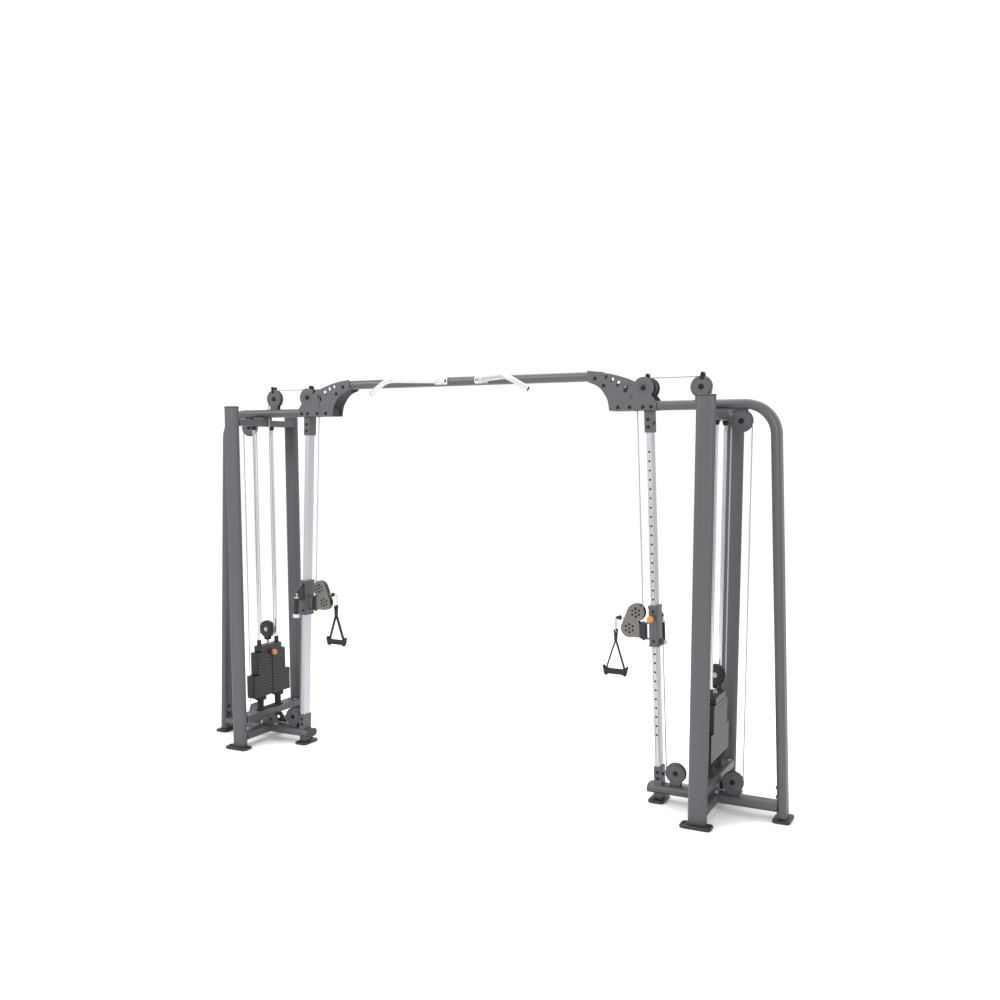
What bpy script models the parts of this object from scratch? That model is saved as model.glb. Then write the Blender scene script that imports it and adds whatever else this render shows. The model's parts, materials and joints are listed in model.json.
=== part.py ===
"""Cable crossover machine: two towers joined by a crossbar.

Metres, +Z up, X along the crossbar, -Y towards the user. The origin is on the floor at the middle.
The right tower is modelled. The left frame is its mirror image in the plane x = 0, while the left
column and everything that rides on it are the same parts turned half round.
"""

import math

import bmesh
import bpy
from mathutils import Matrix, Vector

GAP = 0.0003  # between pieces that touch
RUN = 0.0012  # between pieces that slide or turn on each other

# frame tubes: flat ovals
TUBE_WIDE = 0.100
TUBE_THIN = 0.050
TOWER_X = 1.522  # uprights and weight stack
UPRIGHT_Y = 0.294
UPRIGHT_PROUD = 0.038  # uprights' tops above the beam's centre line
BEAM_Z = 2.170
BEAM_PAST_COLUMN = 0.294  # inwards from the column's foot
BASE_Z = 0.073
BASE_PAST_COLUMN = 0.056
LEG_OUT = 0.296  # outer leg's centre line at LEG_TOP_Z, from the uprights
LEG_TOP_Z = 1.828
BEND_RADIUS = 0.165
LEAN = math.radians(2.54)  # column and outer leg
FOOT_THICK = 0.008
FOOT_MARGIN = 0.022
CABLE_HOLE = 0.009

# crossbar and gusset plates
CROSSBAR_RISE = 0.1655  # above the beam's centre line
CROSSBAR_OVERLAP = 0.065  # into the gussets
GUSSET_THICK = 0.006
GUSSET_REACH = 0.321  # from the pulley's axle to the tip
GUSSET_CROWN = 0.030  # above the crossbar's centre line

# adjustment column
COLUMN_X = 0.030
COLUMN_Y = 0.060
COLUMN_IN = 0.298  # column's foot, inwards from the uprights
COLUMN_FOOT_WIDE = 0.090
COLUMN_FOOT_DEEP = 0.150
HOLE_RADIUS = 0.0055
HOLE_DEPTH = 0.008
HOLE_FIRST = 0.278  # up the column
HOLE_PITCH = 0.050
HOLE_MARGIN = 0.050  # bare column left below the top bracket
SOCKET_WALL = 0.006
SOCKET_HEIGHT = 0.100
BRACKET_HEIGHT = 0.112

# pulleys
PITCH_RADIUS = 0.054  # to the cable's centre line
RIM_PROUD = 0.004  # rim beyond the pitch circle
PULLEY_WIDTH = 0.020
AXLE_RADIUS = 0.006
AXLE_PLAY = 0.0006
CHEEK_THICK = 0.004
CHEEK_SHY = 0.010  # cheek inside the rim
CABLE_RADIUS = 0.003
PULLEY_OVER_TUBE = 0.011  # rim above the beam or the base rail
PULLEY_UNDER_BEAM = 0.004
STRAND_INNER = 0.070  # cable's run beside the column, towards the user
STRAND_OUTER = 0.040

# weight stack
ROD_Y = 0.088
ROD_RADIUS = 0.0095
BORE_RADIUS = 0.0112
PLATE_X = 0.068
PLATE_Z = 0.0212
PLATE_GROOVE = 0.002
LOWER_COUNT = 7
UPPER_COUNT = 6
LOWER_Y = 0.360
UPPER_Y = 0.274
HEAD_Y = 0.208
HEAD_THICK = 0.040
STEM_RADIUS = 0.010
STACK_BOTTOM = 0.303
STACK_PULLEY_GAP = 0.043  # rim above the head plate
COLLAR_HEIGHT = 0.040
COLLAR_RADIUS = 0.015
RAIL_LOW = 0.165
RAIL_HIGH = 0.208
TOP_RAIL_DROP = 0.018  # below the beam
TOP_RAIL_THICK = 0.040
RAIL_X = 0.094
WEB_Y = 0.036  # webs that carry the stack's rail
WEB_THICK = 0.006
ROD_SEAT = 0.010  # metal left beyond each end of a guide rod
BUMPER_RADIUS = 0.022
DISC_RADIUS = 0.040
DISC_THICK = 0.024
PIN_RADIUS = 0.005
KNOB_RADIUS = 0.019

# carriage, in the column's own frame: offset from the column, and height from the pin
CARRIAGE_HOLE = 13
SLEEVE_WALL = 0.011
SLEEVE_LOW = -0.157
SLEEVE_HIGH = 0.066
SWIVEL_LOW = -0.118
SWIVEL_HIGH = -0.037
SWIVEL_HALF = 0.0185
LUG_THICK = 0.0055
LUG_HALF = 0.015
PIVOT_RADIUS = 0.005
HOUSING_THICK = 0.036
HOUSING_SKIN = 0.003
HOUSING_RADIUS = 0.050
SMALL_RADIUS = 0.0455
SMALL_PITCH = 0.037
SMALL_WIDTH = 0.018
UPPER_PULLEY_W = 0.024
LOWER_PULLEY_U = -0.146
LOWER_PULLEY_W = -0.064
GRIP_U = 0.005
GRIP_OUT = 0.0628  # from the sleeve's rear face
GRIP_RADIUS = 0.014
GRIP_LOW = -0.167
GRIP_HIGH = -0.040
FLANGE_RADIUS = 0.023
FLANGE_THICK = 0.024
ARM_THICK = 0.008
ANCHOR_LOW = 0.012  # above the sleeve's lower edge
BARREL_LENGTH = 0.018
POP_KNOB_RADIUS = 0.018

# handle
STOP_START = 0.0025  # from the housing
STOP_LENGTH = 0.026
EYE_OUT = 0.004
CARABINER_DROP = 0.080
CARABINER_HALF = 0.013
WIRE_RADIUS = 0.0035
STRAP_WIDE = 0.026
STRAP_THICK = 0.004
STRAP_LOOP = 0.046
GRIP_DROP = 0.230  # grip's axis below the carabiner
HAND_LENGTH = 0.125
HAND_RADIUS = 0.017
HAND_CAP_RADIUS = 0.020

# pull-up handles
PULLUP_RADIUS = 0.015
PULLUP_ROOT_X = 0.115
PULLUP_BEND_X = 0.389
PULLUP_BEND_Y = -0.240
PULLUP_END_X = 0.514
PULLUP_END_Y = -0.222
PULLUP_DROP = 0.070

LEG_TOP_X = TOWER_X + LEG_OUT
COLUMN_FOOT_X = TOWER_X - COLUMN_IN
BEAM_INNER_X = COLUMN_FOOT_X - BEAM_PAST_COLUMN
BASE_INNER_X = COLUMN_FOOT_X - BASE_PAST_COLUMN
BASE_TOP = BASE_Z + TUBE_THIN / 2
BEAM_LOW = BEAM_Z - TUBE_THIN / 2
BEAM_HIGH = BEAM_Z + TUBE_THIN / 2
UPRIGHT_TOP = BEAM_Z + UPRIGHT_PROUD
CROSSBAR_Z = BEAM_Z + CROSSBAR_RISE
TOP_RAIL_HIGH = BEAM_LOW - TOP_RAIL_DROP
TOP_RAIL_LOW = TOP_RAIL_HIGH - TOP_RAIL_THICK
PULLEY_RADIUS = PITCH_RADIUS + RIM_PROUD
CHEEK_RADIUS = PULLEY_RADIUS - CHEEK_SHY
TOP_PULLEY_Z = BEAM_HIGH + PULLEY_OVER_TUBE + PULLEY_RADIUS
HANGING_PULLEY_Z = BEAM_LOW - PULLEY_UNDER_BEAM - PULLEY_RADIUS
BASE_PULLEY_Z = BASE_TOP + PULLEY_OVER_TUBE + PULLEY_RADIUS
COLUMN_LENGTH = (BEAM_LOW - BASE_TOP) / math.cos(LEAN) - 0.003
HOLE_ROW = COLUMN_LENGTH - BRACKET_HEIGHT - HOLE_MARGIN - HOLE_FIRST
HOLE_COUNT = int(HOLE_ROW / HOLE_PITCH)
STACK_SPLIT = STACK_BOTTOM + LOWER_COUNT * PLATE_Z
STACK_TOP = STACK_SPLIT + UPPER_COUNT * PLATE_Z
PIN_Z = STACK_TOP + PLATE_Z / 2
HEAD_TOP = STACK_TOP + PLATE_Z + HEAD_THICK
STACK_PULLEY_Z = HEAD_TOP + STACK_PULLEY_GAP + PULLEY_RADIUS
INNER_CABLE_X = TOWER_X - PITCH_RADIUS
OUTER_CABLE_X = TOWER_X + PITCH_RADIUS
TOP_OUTER_X = INNER_CABLE_X - PITCH_RADIUS
HANGING_X = OUTER_CABLE_X + PITCH_RADIUS
CARRIAGE_ALONG = HOLE_FIRST + CARRIAGE_HOLE * HOLE_PITCH
SLEEVE_HALF_U = COLUMN_X / 2 + RUN + SLEEVE_WALL
SLEEVE_HALF_Y = COLUMN_Y / 2 + RUN + SLEEVE_WALL
GRIP_Y = SLEEVE_HALF_Y + GRIP_OUT
UPPER_PULLEY_U = -STRAND_INNER - SMALL_PITCH
EXIT_W = UPPER_PULLEY_W - SMALL_PITCH
HOUSING_LEFT = LOWER_PULLEY_U - HOUSING_RADIUS
CHEEK_INNER = PULLEY_WIDTH / 2 + RUN


def on_column(offset, along, y=0.0):
    """World point at an offset outwards from the column's centre line and a distance up it."""
    x = COLUMN_FOOT_X + offset * math.cos(LEAN) - along * math.sin(LEAN)
    z = BASE_TOP + offset * math.sin(LEAN) + along * math.cos(LEAN)
    return Vector((x, y, z))


def beside_column(offset, z):
    """World X of the line at an offset from the column, at a height."""
    return on_column(offset, (z - BASE_TOP - offset * math.sin(LEAN)) / math.cos(LEAN)).x


TOP_INNER_X = beside_column(-STRAND_INNER, TOP_PULLEY_Z) + PITCH_RADIUS / math.cos(LEAN)
BASE_INNER_PULLEY_X = beside_column(STRAND_OUTER, BASE_PULLEY_Z) + PITCH_RADIUS / math.cos(LEAN)
TIP_X = TOP_INNER_X - GUSSET_REACH


def carriage_point(u, w, y=0.0):
    """World point at an offset u outwards from the column and a height w above the carriage's pin."""
    return on_column(u, CARRIAGE_ALONG + w, y)


UPPER_PULLEY = carriage_point(UPPER_PULLEY_U, UPPER_PULLEY_W)
LOWER_PULLEY = carriage_point(LOWER_PULLEY_U, LOWER_PULLEY_W)
STOP_X = carriage_point(HOUSING_LEFT - STOP_START, EXIT_W).x
STOP_Z = UPPER_PULLEY.z - SMALL_PITCH
EYE_X = STOP_X - STOP_LENGTH - EYE_OUT
RING_TOP = STOP_Z + WIRE_RADIUS
HOOK_Z = RING_TOP - CARABINER_DROP


# ---------------------------------------------------------------- materials

FINISHES = {
    "frame_coat": ((0.075, 0.075, 0.08), 0.45, 0.3),
    "column_steel": ((0.45, 0.45, 0.48), 0.3, 0.9),
    "handle_steel": ((0.55, 0.55, 0.56), 0.28, 1.0),
    "rod_chrome": ((0.6, 0.6, 0.62), 0.12, 1.0),
    "plate_black": ((0.02, 0.02, 0.022), 0.5, 0.2),
    "pulley_nylon": ((0.03, 0.03, 0.032), 0.45, 0.0),
    "housing_grey": ((0.16, 0.155, 0.15), 0.4, 0.4),
    "rubber_black": ((0.012, 0.012, 0.013), 0.7, 0.0),
    "knob_orange": ((0.52, 0.16, 0.02), 0.35, 0.0),
    "cable_grey": ((0.5, 0.5, 0.52), 0.4, 0.2),
}


def make_finish(name):
    colour, roughness, metallic = FINISHES[name]
    finish = bpy.data.materials.new(name)
    finish.use_nodes = True
    shader = finish.node_tree.nodes["Principled BSDF"]
    shader.inputs["Base Color"].default_value = (*colour, 1.0)
    shader.inputs["Roughness"].default_value = roughness
    shader.inputs["Metallic"].default_value = metallic
    return finish


# ---------------------------------------------------------------- shape helpers


def new_piece(bm, name="piece"):
    """A mesh object made from a bmesh, with its faces pointing out."""
    bmesh.ops.recalc_face_normals(bm, faces=bm.faces)
    mesh = bpy.data.meshes.new(name)
    bm.to_mesh(mesh)
    bm.free()
    piece = bpy.data.objects.new(name, mesh)
    bpy.context.scene.collection.objects.link(piece)
    return piece


def lofted(rings):
    """A solid through a row of matching loops of points, its two ends closed."""
    bm = bmesh.new()
    loops = [[bm.verts.new(point) for point in ring] for ring in rings]
    bm.faces.new(loops[0])
    bm.faces.new(loops[-1])
    for near, far in zip(loops, loops[1:]):
        for i in range(len(near)):
            bm.faces.new((near[i - 1], near[i], far[i], far[i - 1]))
    return new_piece(bm)


def extrude(outline, low, high, axis="Z"):
    """A flat outline carried from low to high along an axis.

    Outline points are (x, y), (x, z) or (y, z).
    """
    place = {
        "Z": lambda a, b, c: (a, b, c),
        "Y": lambda a, b, c: (a, c, b),
        "X": lambda a, b, c: (c, a, b),
    }[axis]
    return lofted([[place(a, b, level) for a, b in outline] for level in (low, high)])


def box(x, y, z):
    """A block between three pairs of limits."""
    return extrude([(x[0], y[0]), (x[1], y[0]), (x[1], y[1]), (x[0], y[1])], z[0], z[1])


def arc(centre, radius, start, end, steps):
    """Points on an arc, angles in degrees, both ends included."""
    angles = [math.radians(start + (end - start) * i / steps) for i in range(steps + 1)]
    return [(centre[0] + radius * math.cos(a), centre[1] + radius * math.sin(a)) for a in angles]


def rounded(width, height, radius, centre=(0.0, 0.0), steps=3):
    """A rectangle's outline with round corners."""
    cx, cy = centre
    dx, dy = width / 2 - radius, height / 2 - radius
    corners = ((dx, dy, 0), (-dx, dy, 90), (-dx, -dy, 180), (dx, -dy, 270))
    points = []
    for px, py, start in corners:
        points += arc((cx + px, cy + py), radius, start, start + 90, steps)
    return points


def flat_oval(cx, cy, margin=0.0):
    """The frame tubes' section: two straight sides joined by half circles, the long way first."""
    reach = (TUBE_WIDE - TUBE_THIN) / 2
    radius = TUBE_THIN / 2 + margin
    return arc((cx + reach, cy), radius, -90, 90, 6) + arc((cx - reach, cy), radius, 90, 270, 6)


def turned(profile, sides, axis="Y", centre=(0.0, 0.0, 0.0)):
    """A ring spun about an axis through centre, from a loop of (radius, distance along the axis)."""
    bm = bmesh.new()
    points = [bm.verts.new((radius, along, 0.0)) for radius, along in profile]
    edges = [bm.edges.new((points[i - 1], points[i])) for i in range(len(points))]
    around_y = {"cent": (0, 0, 0), "axis": (0, 1, 0), "angle": 2 * math.pi}
    bmesh.ops.spin(bm, geom=points + edges, steps=sides, **around_y)
    bmesh.ops.remove_doubles(bm, verts=bm.verts, dist=1e-5)
    turns = {"Y": Matrix(), "X": Matrix.Rotation(-math.pi / 2, 4, "Z")}
    bmesh.ops.transform(bm, matrix=Matrix.Translation(centre) @ turns[axis], verts=bm.verts)
    return new_piece(bm)


def rod(radius, low, high, axis, centre, sides=12):
    """A plain cylinder. The centre gives the two coordinates across the axis, in X, Y, Z order."""
    return extrude(arc(centre, radius, 0, 360 - 360 / sides, sides - 1), low, high, axis)


def tube(route, radius, rounding=1, closed=False):
    """A round bar along a route of points, its ends capped."""
    curve = bpy.data.curves.new("route", "CURVE")
    curve.dimensions = "3D"
    curve.resolution_u = 1
    curve.render_resolution_u = 0
    curve.bevel_depth = radius
    curve.bevel_resolution = rounding
    curve.use_fill_caps = not closed
    spline = curve.splines.new("POLY")
    spline.points.add(len(route) - 1)
    for point, place in zip(spline.points, route):
        point.co = (*place, 1.0)
    spline.use_cyclic_u = closed
    piece = bpy.data.objects.new("bar", curve)
    bpy.context.scene.collection.objects.link(piece)
    return as_mesh(piece)


def as_mesh(piece):
    """The piece with its curve or its modifiers made into a plain closed mesh."""
    bpy.context.view_layer.update()
    evaluated = piece.evaluated_get(bpy.context.evaluated_depsgraph_get())
    mesh = bpy.data.meshes.new_from_object(evaluated)
    bpy.data.objects.remove(piece, do_unlink=True)
    bm = bmesh.new()
    bm.from_mesh(mesh)
    bpy.data.meshes.remove(mesh)
    bmesh.ops.remove_doubles(bm, verts=bm.verts, dist=1e-6)
    return new_piece(bm)


def combine(piece, tools, operation):
    """The piece after each tool has been joined to it or taken away from it."""
    for tool in tools:
        modifier = piece.modifiers.new("combine", "BOOLEAN")
        modifier.operation = operation
        modifier.solver = "EXACT"
        modifier.object = tool
        piece = as_mesh(piece)
        bpy.data.objects.remove(tool, do_unlink=True)
    return piece


def cut(piece, *tools):
    """The piece with each tool's shape taken away."""
    return combine(piece, tools, "DIFFERENCE")


def join(piece, *others):
    """One solid from pieces that overlap."""
    return combine(piece, others, "UNION")


def finished(piece, name, finish, origin=(0.0, 0.0, 0.0), lean=0.0):
    """Names a piece modelled from its own origin, and gives it its finish, place and lean."""
    piece.name = name
    piece.data.name = name
    piece.location = origin
    piece.rotation_euler = (0.0, -lean, 0.0)
    piece.data.materials.append(FINISH[finish])
    piece.data.shade_smooth()
    piece.data.set_sharp_from_angle(angle=math.radians(35))
    return piece


def placed(piece, name, finish, origin=(0.0, 0.0, 0.0)):
    """Finishes a piece modelled in world coordinates, with its origin moved to a point."""
    piece.data.transform(Matrix.Translation(origin).inverted())
    return finished(piece, name, finish, origin)


def ridden(piece, name, finish, u=0.0, w=0.0, y=0.0):
    """Finishes a piece modelled in the carriage's frame, with its origin moved to (u, y, w)."""
    piece.data.transform(Matrix.Translation((-u, -y, -w)))
    return finished(piece, name, finish, carriage_point(u, w, y), LEAN)


def left_copy(piece, mesh, place, angles):
    copy = bpy.data.objects.new(piece.name.replace("right_", "left_"), mesh)
    mesh.name = copy.name
    copy.location = place
    copy.rotation_euler = angles
    bpy.context.scene.collection.objects.link(copy)


def mirrored(piece):
    """The left tower's mirror image of a piece."""
    mesh = piece.data.copy()
    mesh.transform(Matrix.Scale(-1, 4, (1, 0, 0)))
    mesh.flip_normals()
    x, y, z = piece.location
    left_copy(piece, mesh, (-x, y, z), (0.0, -piece.rotation_euler.y, 0.0))


def half_turned(piece):
    """The left tower's copy of a piece, the same part turned half round the machine's middle."""
    x, y, z = piece.location
    left_copy(piece, piece.data.copy(), (-x, -y, z), (0.0, piece.rotation_euler.y, math.pi))


# ---------------------------------------------------------------- frame


def foot(x, y, width, depth):
    """A low plate with round corners."""
    return extrude(rounded(width, depth, 0.012, (x, y), 2), 0.0, FOOT_THICK)


def upright(name, side):
    """A vertical flat-oval tube with its foot plate, which stands out beyond the tower."""
    y = side * UPRIGHT_Y
    piece = extrude(flat_oval(TOWER_X, y), FOOT_THICK / 2, UPRIGHT_TOP)
    near = TUBE_THIN / 2
    far = near + FOOT_MARGIN + 0.015
    width = TUBE_WIDE + 3 * FOOT_MARGIN
    plate = foot(TOWER_X, y + side * (far - near) / 2, width, near + far)
    return placed(join(piece, plate), name, "frame_coat")


def bend_rings():
    """Sections of the beam, round the bend and down the outer leg to its foot."""
    angle = math.pi / 2 - LEAN
    end_z = BEAM_Z - BEND_RADIUS * (1 - math.cos(angle))
    end_x = LEG_TOP_X + (LEG_TOP_Z - end_z) * math.tan(LEAN)
    bend = Vector((end_x - BEND_RADIUS * math.sin(angle), 0, BEAM_Z - BEND_RADIUS))
    rings = [[Vector((BEAM_INNER_X, y, z)) for y, z in flat_oval(0.0, BEAM_Z)]]
    first = [Vector((bend.x, y, z)) for y, z in flat_oval(0.0, BEAM_Z)]
    for i in range(9):
        turn = Matrix.Rotation(angle * i / 8, 3, "Y")
        rings.append([bend + turn @ (point - bend) for point in first])
    length = (end_z - FOOT_THICK / 2) / math.cos(LEAN)
    down = Vector((math.sin(LEAN), 0, -math.cos(LEAN))) * length
    rings.append([point + down for point in rings[-1]])
    return rings


def bent_tube():
    """The top beam, its bend and the leaning outer leg in one tube.

    The column's top bracket and the cheeks of the two outer top pulleys are welded on, and the
    cable's two ways through the beam are cut.
    """
    foot_x = LEG_TOP_X + LEG_TOP_Z * math.tan(LEAN)
    outer_foot = foot(foot_x, 0, TUBE_THIN + 2 * FOOT_MARGIN, TUBE_WIDE + 2 * FOOT_MARGIN)
    side = COLUMN_Y / 2 + RUN + SOCKET_WALL
    low = on_column(0, COLUMN_LENGTH).z - BRACKET_HEIGHT
    half = COLUMN_X / 2 + RUN + SOCKET_WALL
    bracket = extrude(leaning(half, low, BEAM_LOW + 0.006), -side, side, "Y")
    bracket = cut(bracket, column_block(low - 0.1))
    piece = join(
        lofted(bend_rings()),
        *cheeks(HANGING_X, HANGING_PULLEY_Z, BEAM_LOW + 0.006, 0.070),
        *cheeks(TOP_OUTER_X, TOP_PULLEY_Z, BEAM_HIGH - 0.004, 0.078),
        outer_foot,
        bracket,
    )
    for x in (INNER_CABLE_X, beside_column(-STRAND_INNER, BEAM_Z)):
        piece = cut(piece, rod(CABLE_HOLE, BEAM_LOW - 0.01, BEAM_HIGH + 0.01, "Z", (x, 0.0), 10))
    return placed(piece, "right_bent_tube", "frame_coat")


def leaning(half, low, high):
    """Outline in X and Z of a block that follows the column's lean between two heights."""
    corners = ((-1, low), (1, low), (1, high), (-1, high))
    return [(beside_column(side * half, z), z) for side, z in corners]


def column_block(low):
    """The column's own shape from a height up, grown by the running clearance, as a cutter."""
    high = on_column(0, COLUMN_LENGTH).z + 0.001 + RUN
    half = COLUMN_Y / 2 + RUN
    return extrude(leaning(COLUMN_X / 2 + RUN, low, high), -half, half, "Y")


def cheeks(x, z, base_z, base_wide):
    """A pulley's two side plates, wide at the root and round at the pulley, and its axle."""
    up = math.copysign(1, z - base_z)
    start = 180 + up * 20
    outline = arc((x, z), CHEEK_RADIUS, start, start - up * 220, 12)
    outline += [(x + base_wide / 2, base_z), (x - base_wide / 2, base_z)]
    reach = CHEEK_INNER + CHEEK_THICK
    plates = [extrude(outline, side * CHEEK_INNER, side * reach, "Y") for side in (1, -1)]
    middle = CHEEK_INNER + CHEEK_THICK / 2
    return [*plates, rod(AXLE_RADIUS, -middle, middle, "Y", (x, z))]


# shares of the way from the pulley to the tip, and from the beam's underside to the crown
GUSSET_TOP_EDGE = (
    (0.12, 0.634),
    (0.227, 0.701),
    (0.405, 0.814),
    (0.586, 0.896),
    (0.766, 0.955),
    (1.0, 1.0),
)
GUSSET_LOW_EDGE = (
    (1.01, 0.85),
    (0.981, 0.719),
    (0.854, 0.643),
    (0.763, 0.552),
    (0.707, 0.452),
    (0.632, 0.271),
    (0.595, 0.0),
)
SLOTS = (
    (0.302, 0.520, 0.040),
    (0.439, 0.656, 0.034),
    (0.548, 0.751, 0.029),
    (0.657, 0.819, 0.024),
)


def on_gusset(across, up):
    """Point in X and Z at a share of the gusset's reach and of its height."""
    height = CROSSBAR_Z + GUSSET_CROWN - BEAM_LOW
    return TOP_INNER_X - across * GUSSET_REACH, BEAM_LOW + up * height


def gusset(name, side):
    """One of the two plates between the crossbar, the beam and the inner top pulley.

    The front one carries the pulley's axle.
    """
    near = TUBE_WIDE / 2 + GAP
    far = near + GUSSET_THICK
    pulley = (TOP_INNER_X, TOP_PULLEY_Z)
    outline = [(TOP_INNER_X + 0.072, BEAM_LOW), (TOP_INNER_X + 0.074, BEAM_HIGH - 0.007)]
    outline.append((TOP_INNER_X + 0.060, BEAM_HIGH + 0.006))
    outline += arc(pulley, PULLEY_RADIUS, -40, 142, 14)
    outline += [on_gusset(across, up) for across, up in GUSSET_TOP_EDGE + GUSSET_LOW_EDGE]
    plate = extrude(outline, side * near, side * far, "Y")
    plate = cut(plate, *[slot_cutter(*slot) for slot in SLOTS])
    if side < 0:
        plate = join(plate, rod(AXLE_RADIUS, -near - GUSSET_THICK / 2, near - GAP, "Y", pulley))
    return placed(plate, name, "frame_coat")


def slot_cutter(across, up, size):
    """A slanted slot through the gusset's top edge band."""
    x, z = on_gusset(across, up)
    slant = Matrix.Rotation(math.radians(-28), 2)
    corners = [slant @ Vector(corner) for corner in rounded(size * 0.62, size, size * 0.2, steps=1)]
    return extrude([(x + a, z + b) for a, b in corners], -0.1, 0.1, "Y")


def crossbar():
    """The tube between the two towers' gussets."""
    end = TIP_X + CROSSBAR_OVERLAP
    return placed(extrude(flat_oval(0.0, CROSSBAR_Z), -end, end, "X"), "crossbar", "frame_coat")


def pullup_handle():
    """A bent bar that stands out from the crossbar, its root shaped to the tube."""
    root = Vector((PULLUP_ROOT_X, -TUBE_WIDE / 2, CROSSBAR_Z + 0.003))
    bend = Vector((PULLUP_BEND_X, PULLUP_BEND_Y, CROSSBAR_Z + 0.003))
    end = Vector((PULLUP_END_X, PULLUP_END_Y, CROSSBAR_Z - PULLUP_DROP))
    before = bend + (root - bend).normalized() * 0.035
    after = bend + (end - bend).normalized() * 0.035
    route = [root + (root - bend).normalized() * 0.030]
    for i in range(6):
        t = i / 5
        route.append(before * (1 - t) ** 2 + bend * (2 * t * (1 - t)) + after * t**2)
    route.append(end)
    bar = tube(route, PULLUP_RADIUS, 2)
    seat = extrude(flat_oval(0.0, CROSSBAR_Z, GAP), PULLUP_ROOT_X - 0.2, PULLUP_ROOT_X + 0.2, "X")
    return placed(cut(bar, seat), "right_pullup_handle", "handle_steel")


def base_frame():
    """The base rail and everything welded to it.

    These are the tube between the uprights, the stack's rail on its two webs, the column's socket,
    post and foot, and the base pulleys' cheeks.
    """
    leg_face = LEG_TOP_X + (LEG_TOP_Z - BASE_TOP) * math.tan(LEAN) - TUBE_THIN / 2 / math.cos(LEAN)
    rail = extrude(flat_oval(0.0, BASE_Z), BASE_INNER_X, leg_face - GAP, "X")
    reach = UPRIGHT_Y - TUBE_THIN / 2 - GAP
    across = extrude(flat_oval(TOWER_X, BASE_Z + 0.001), -reach, reach, "Y")
    half = RAIL_X / 2
    low, high = TOWER_X - half, TOWER_X + half
    stack_rail = box((low, high), (-reach, reach), (RAIL_LOW, RAIL_HIGH))
    web_low, web_high = BASE_TOP - 0.014, RAIL_LOW + 0.01
    web = [(low - 0.08, web_low), (high - 0.001, web_low)]
    web += [(high - 0.001, web_high), (low - 0.03, web_high)]
    webs = [extrude(web, side * WEB_Y, side * (WEB_Y + WEB_THICK), "Y") for side in (1, -1)]
    wall = SOCKET_WALL + RUN
    side = COLUMN_Y / 2 + wall
    collar = leaning(COLUMN_X / 2 + wall, BASE_TOP - 0.004, BASE_TOP + SOCKET_HEIGHT)
    socket = extrude(collar, -side, side, "Y")
    post = box((COLUMN_FOOT_X - 0.025, COLUMN_FOOT_X + 0.025), (-0.03, 0.03), (FOOT_THICK / 2, BASE_Z))
    piece = join(
        rail,
        across,
        stack_rail,
        *webs,
        socket,
        post,
        foot(COLUMN_FOOT_X - 0.005, 0.005, COLUMN_FOOT_WIDE, COLUMN_FOOT_DEEP),
        *cheeks(BASE_INNER_PULLEY_X, BASE_PULLEY_Z, BASE_TOP - 0.004, 0.080),
        *cheeks(HANGING_X, BASE_PULLEY_Z, BASE_TOP - 0.004, 0.090),
    )
    piece = cut(piece, column_block(BASE_TOP - 0.001))
    for y in (-ROD_Y, ROD_Y):
        seat = rod(ROD_RADIUS + GAP, RAIL_LOW + ROD_SEAT, RAIL_HIGH + 0.01, "Z", (TOWER_X, y))
        piece = cut(piece, seat)
    return placed(piece, "right_base_frame", "frame_coat")


def column():
    """The leaning adjustment column with its row of holes, modelled up its own axis."""
    piece = extrude(rounded(COLUMN_X, COLUMN_Y, 0.003, steps=1), 0.001, COLUMN_LENGTH)
    front = -COLUMN_Y / 2
    for i in range(HOLE_COUNT):
        height = HOLE_FIRST + i * HOLE_PITCH
        piece = cut(piece, rod(HOLE_RADIUS, front - 0.01, front + HOLE_DEPTH, "Y", (0.0, height), 6))
    return finished(piece, "right_column", "column_steel", on_column(0, 0), LEAN)


def top_rail():
    """The rail between the uprights that holds the guide rods' tops, hung from the beam."""
    reach = UPRIGHT_Y - TUBE_THIN / 2 - GAP
    half = RAIL_X / 2
    rail = box((TOWER_X - half, TOWER_X + half), (-reach, reach), (TOP_RAIL_LOW, TOP_RAIL_HIGH))
    saddle_x = (TOWER_X - half + 0.001, TOWER_X + half - 0.001)
    saddle = box(saddle_x, (-0.045, 0.045), (TOP_RAIL_HIGH - 0.001, BEAM_LOW - GAP))
    piece = join(rail, saddle)
    for y in (-ROD_Y, ROD_Y):
        seat = rod(ROD_RADIUS + GAP, TOP_RAIL_LOW - 0.01, TOP_RAIL_HIGH - ROD_SEAT, "Z", (TOWER_X, y))
        piece = cut(piece, seat)
    return placed(piece, "right_top_rail", "frame_coat")


def guide_rod(name, y):
    low, high = RAIL_LOW + ROD_SEAT + GAP, TOP_RAIL_HIGH - ROD_SEAT - GAP
    return placed(rod(ROD_RADIUS, low, high, "Z", (TOWER_X, y)), name, "rod_chrome")


# ---------------------------------------------------------------- pulleys


def pulley(name, centre, radius=PULLEY_RADIUS, pitch=PITCH_RADIUS, width=PULLEY_WIDTH):
    """A grooved wheel with a bore that runs on its axle."""
    floor = pitch - CABLE_RADIUS - 0.001
    bore = AXLE_RADIUS + AXLE_PLAY
    near = [(bore, -width / 2), (radius, -width / 2), (floor, -CABLE_RADIUS)]
    far = [(r, -along) for r, along in reversed(near)]
    return finished(turned(near + far, 16), name, "pulley_nylon", centre)


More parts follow.
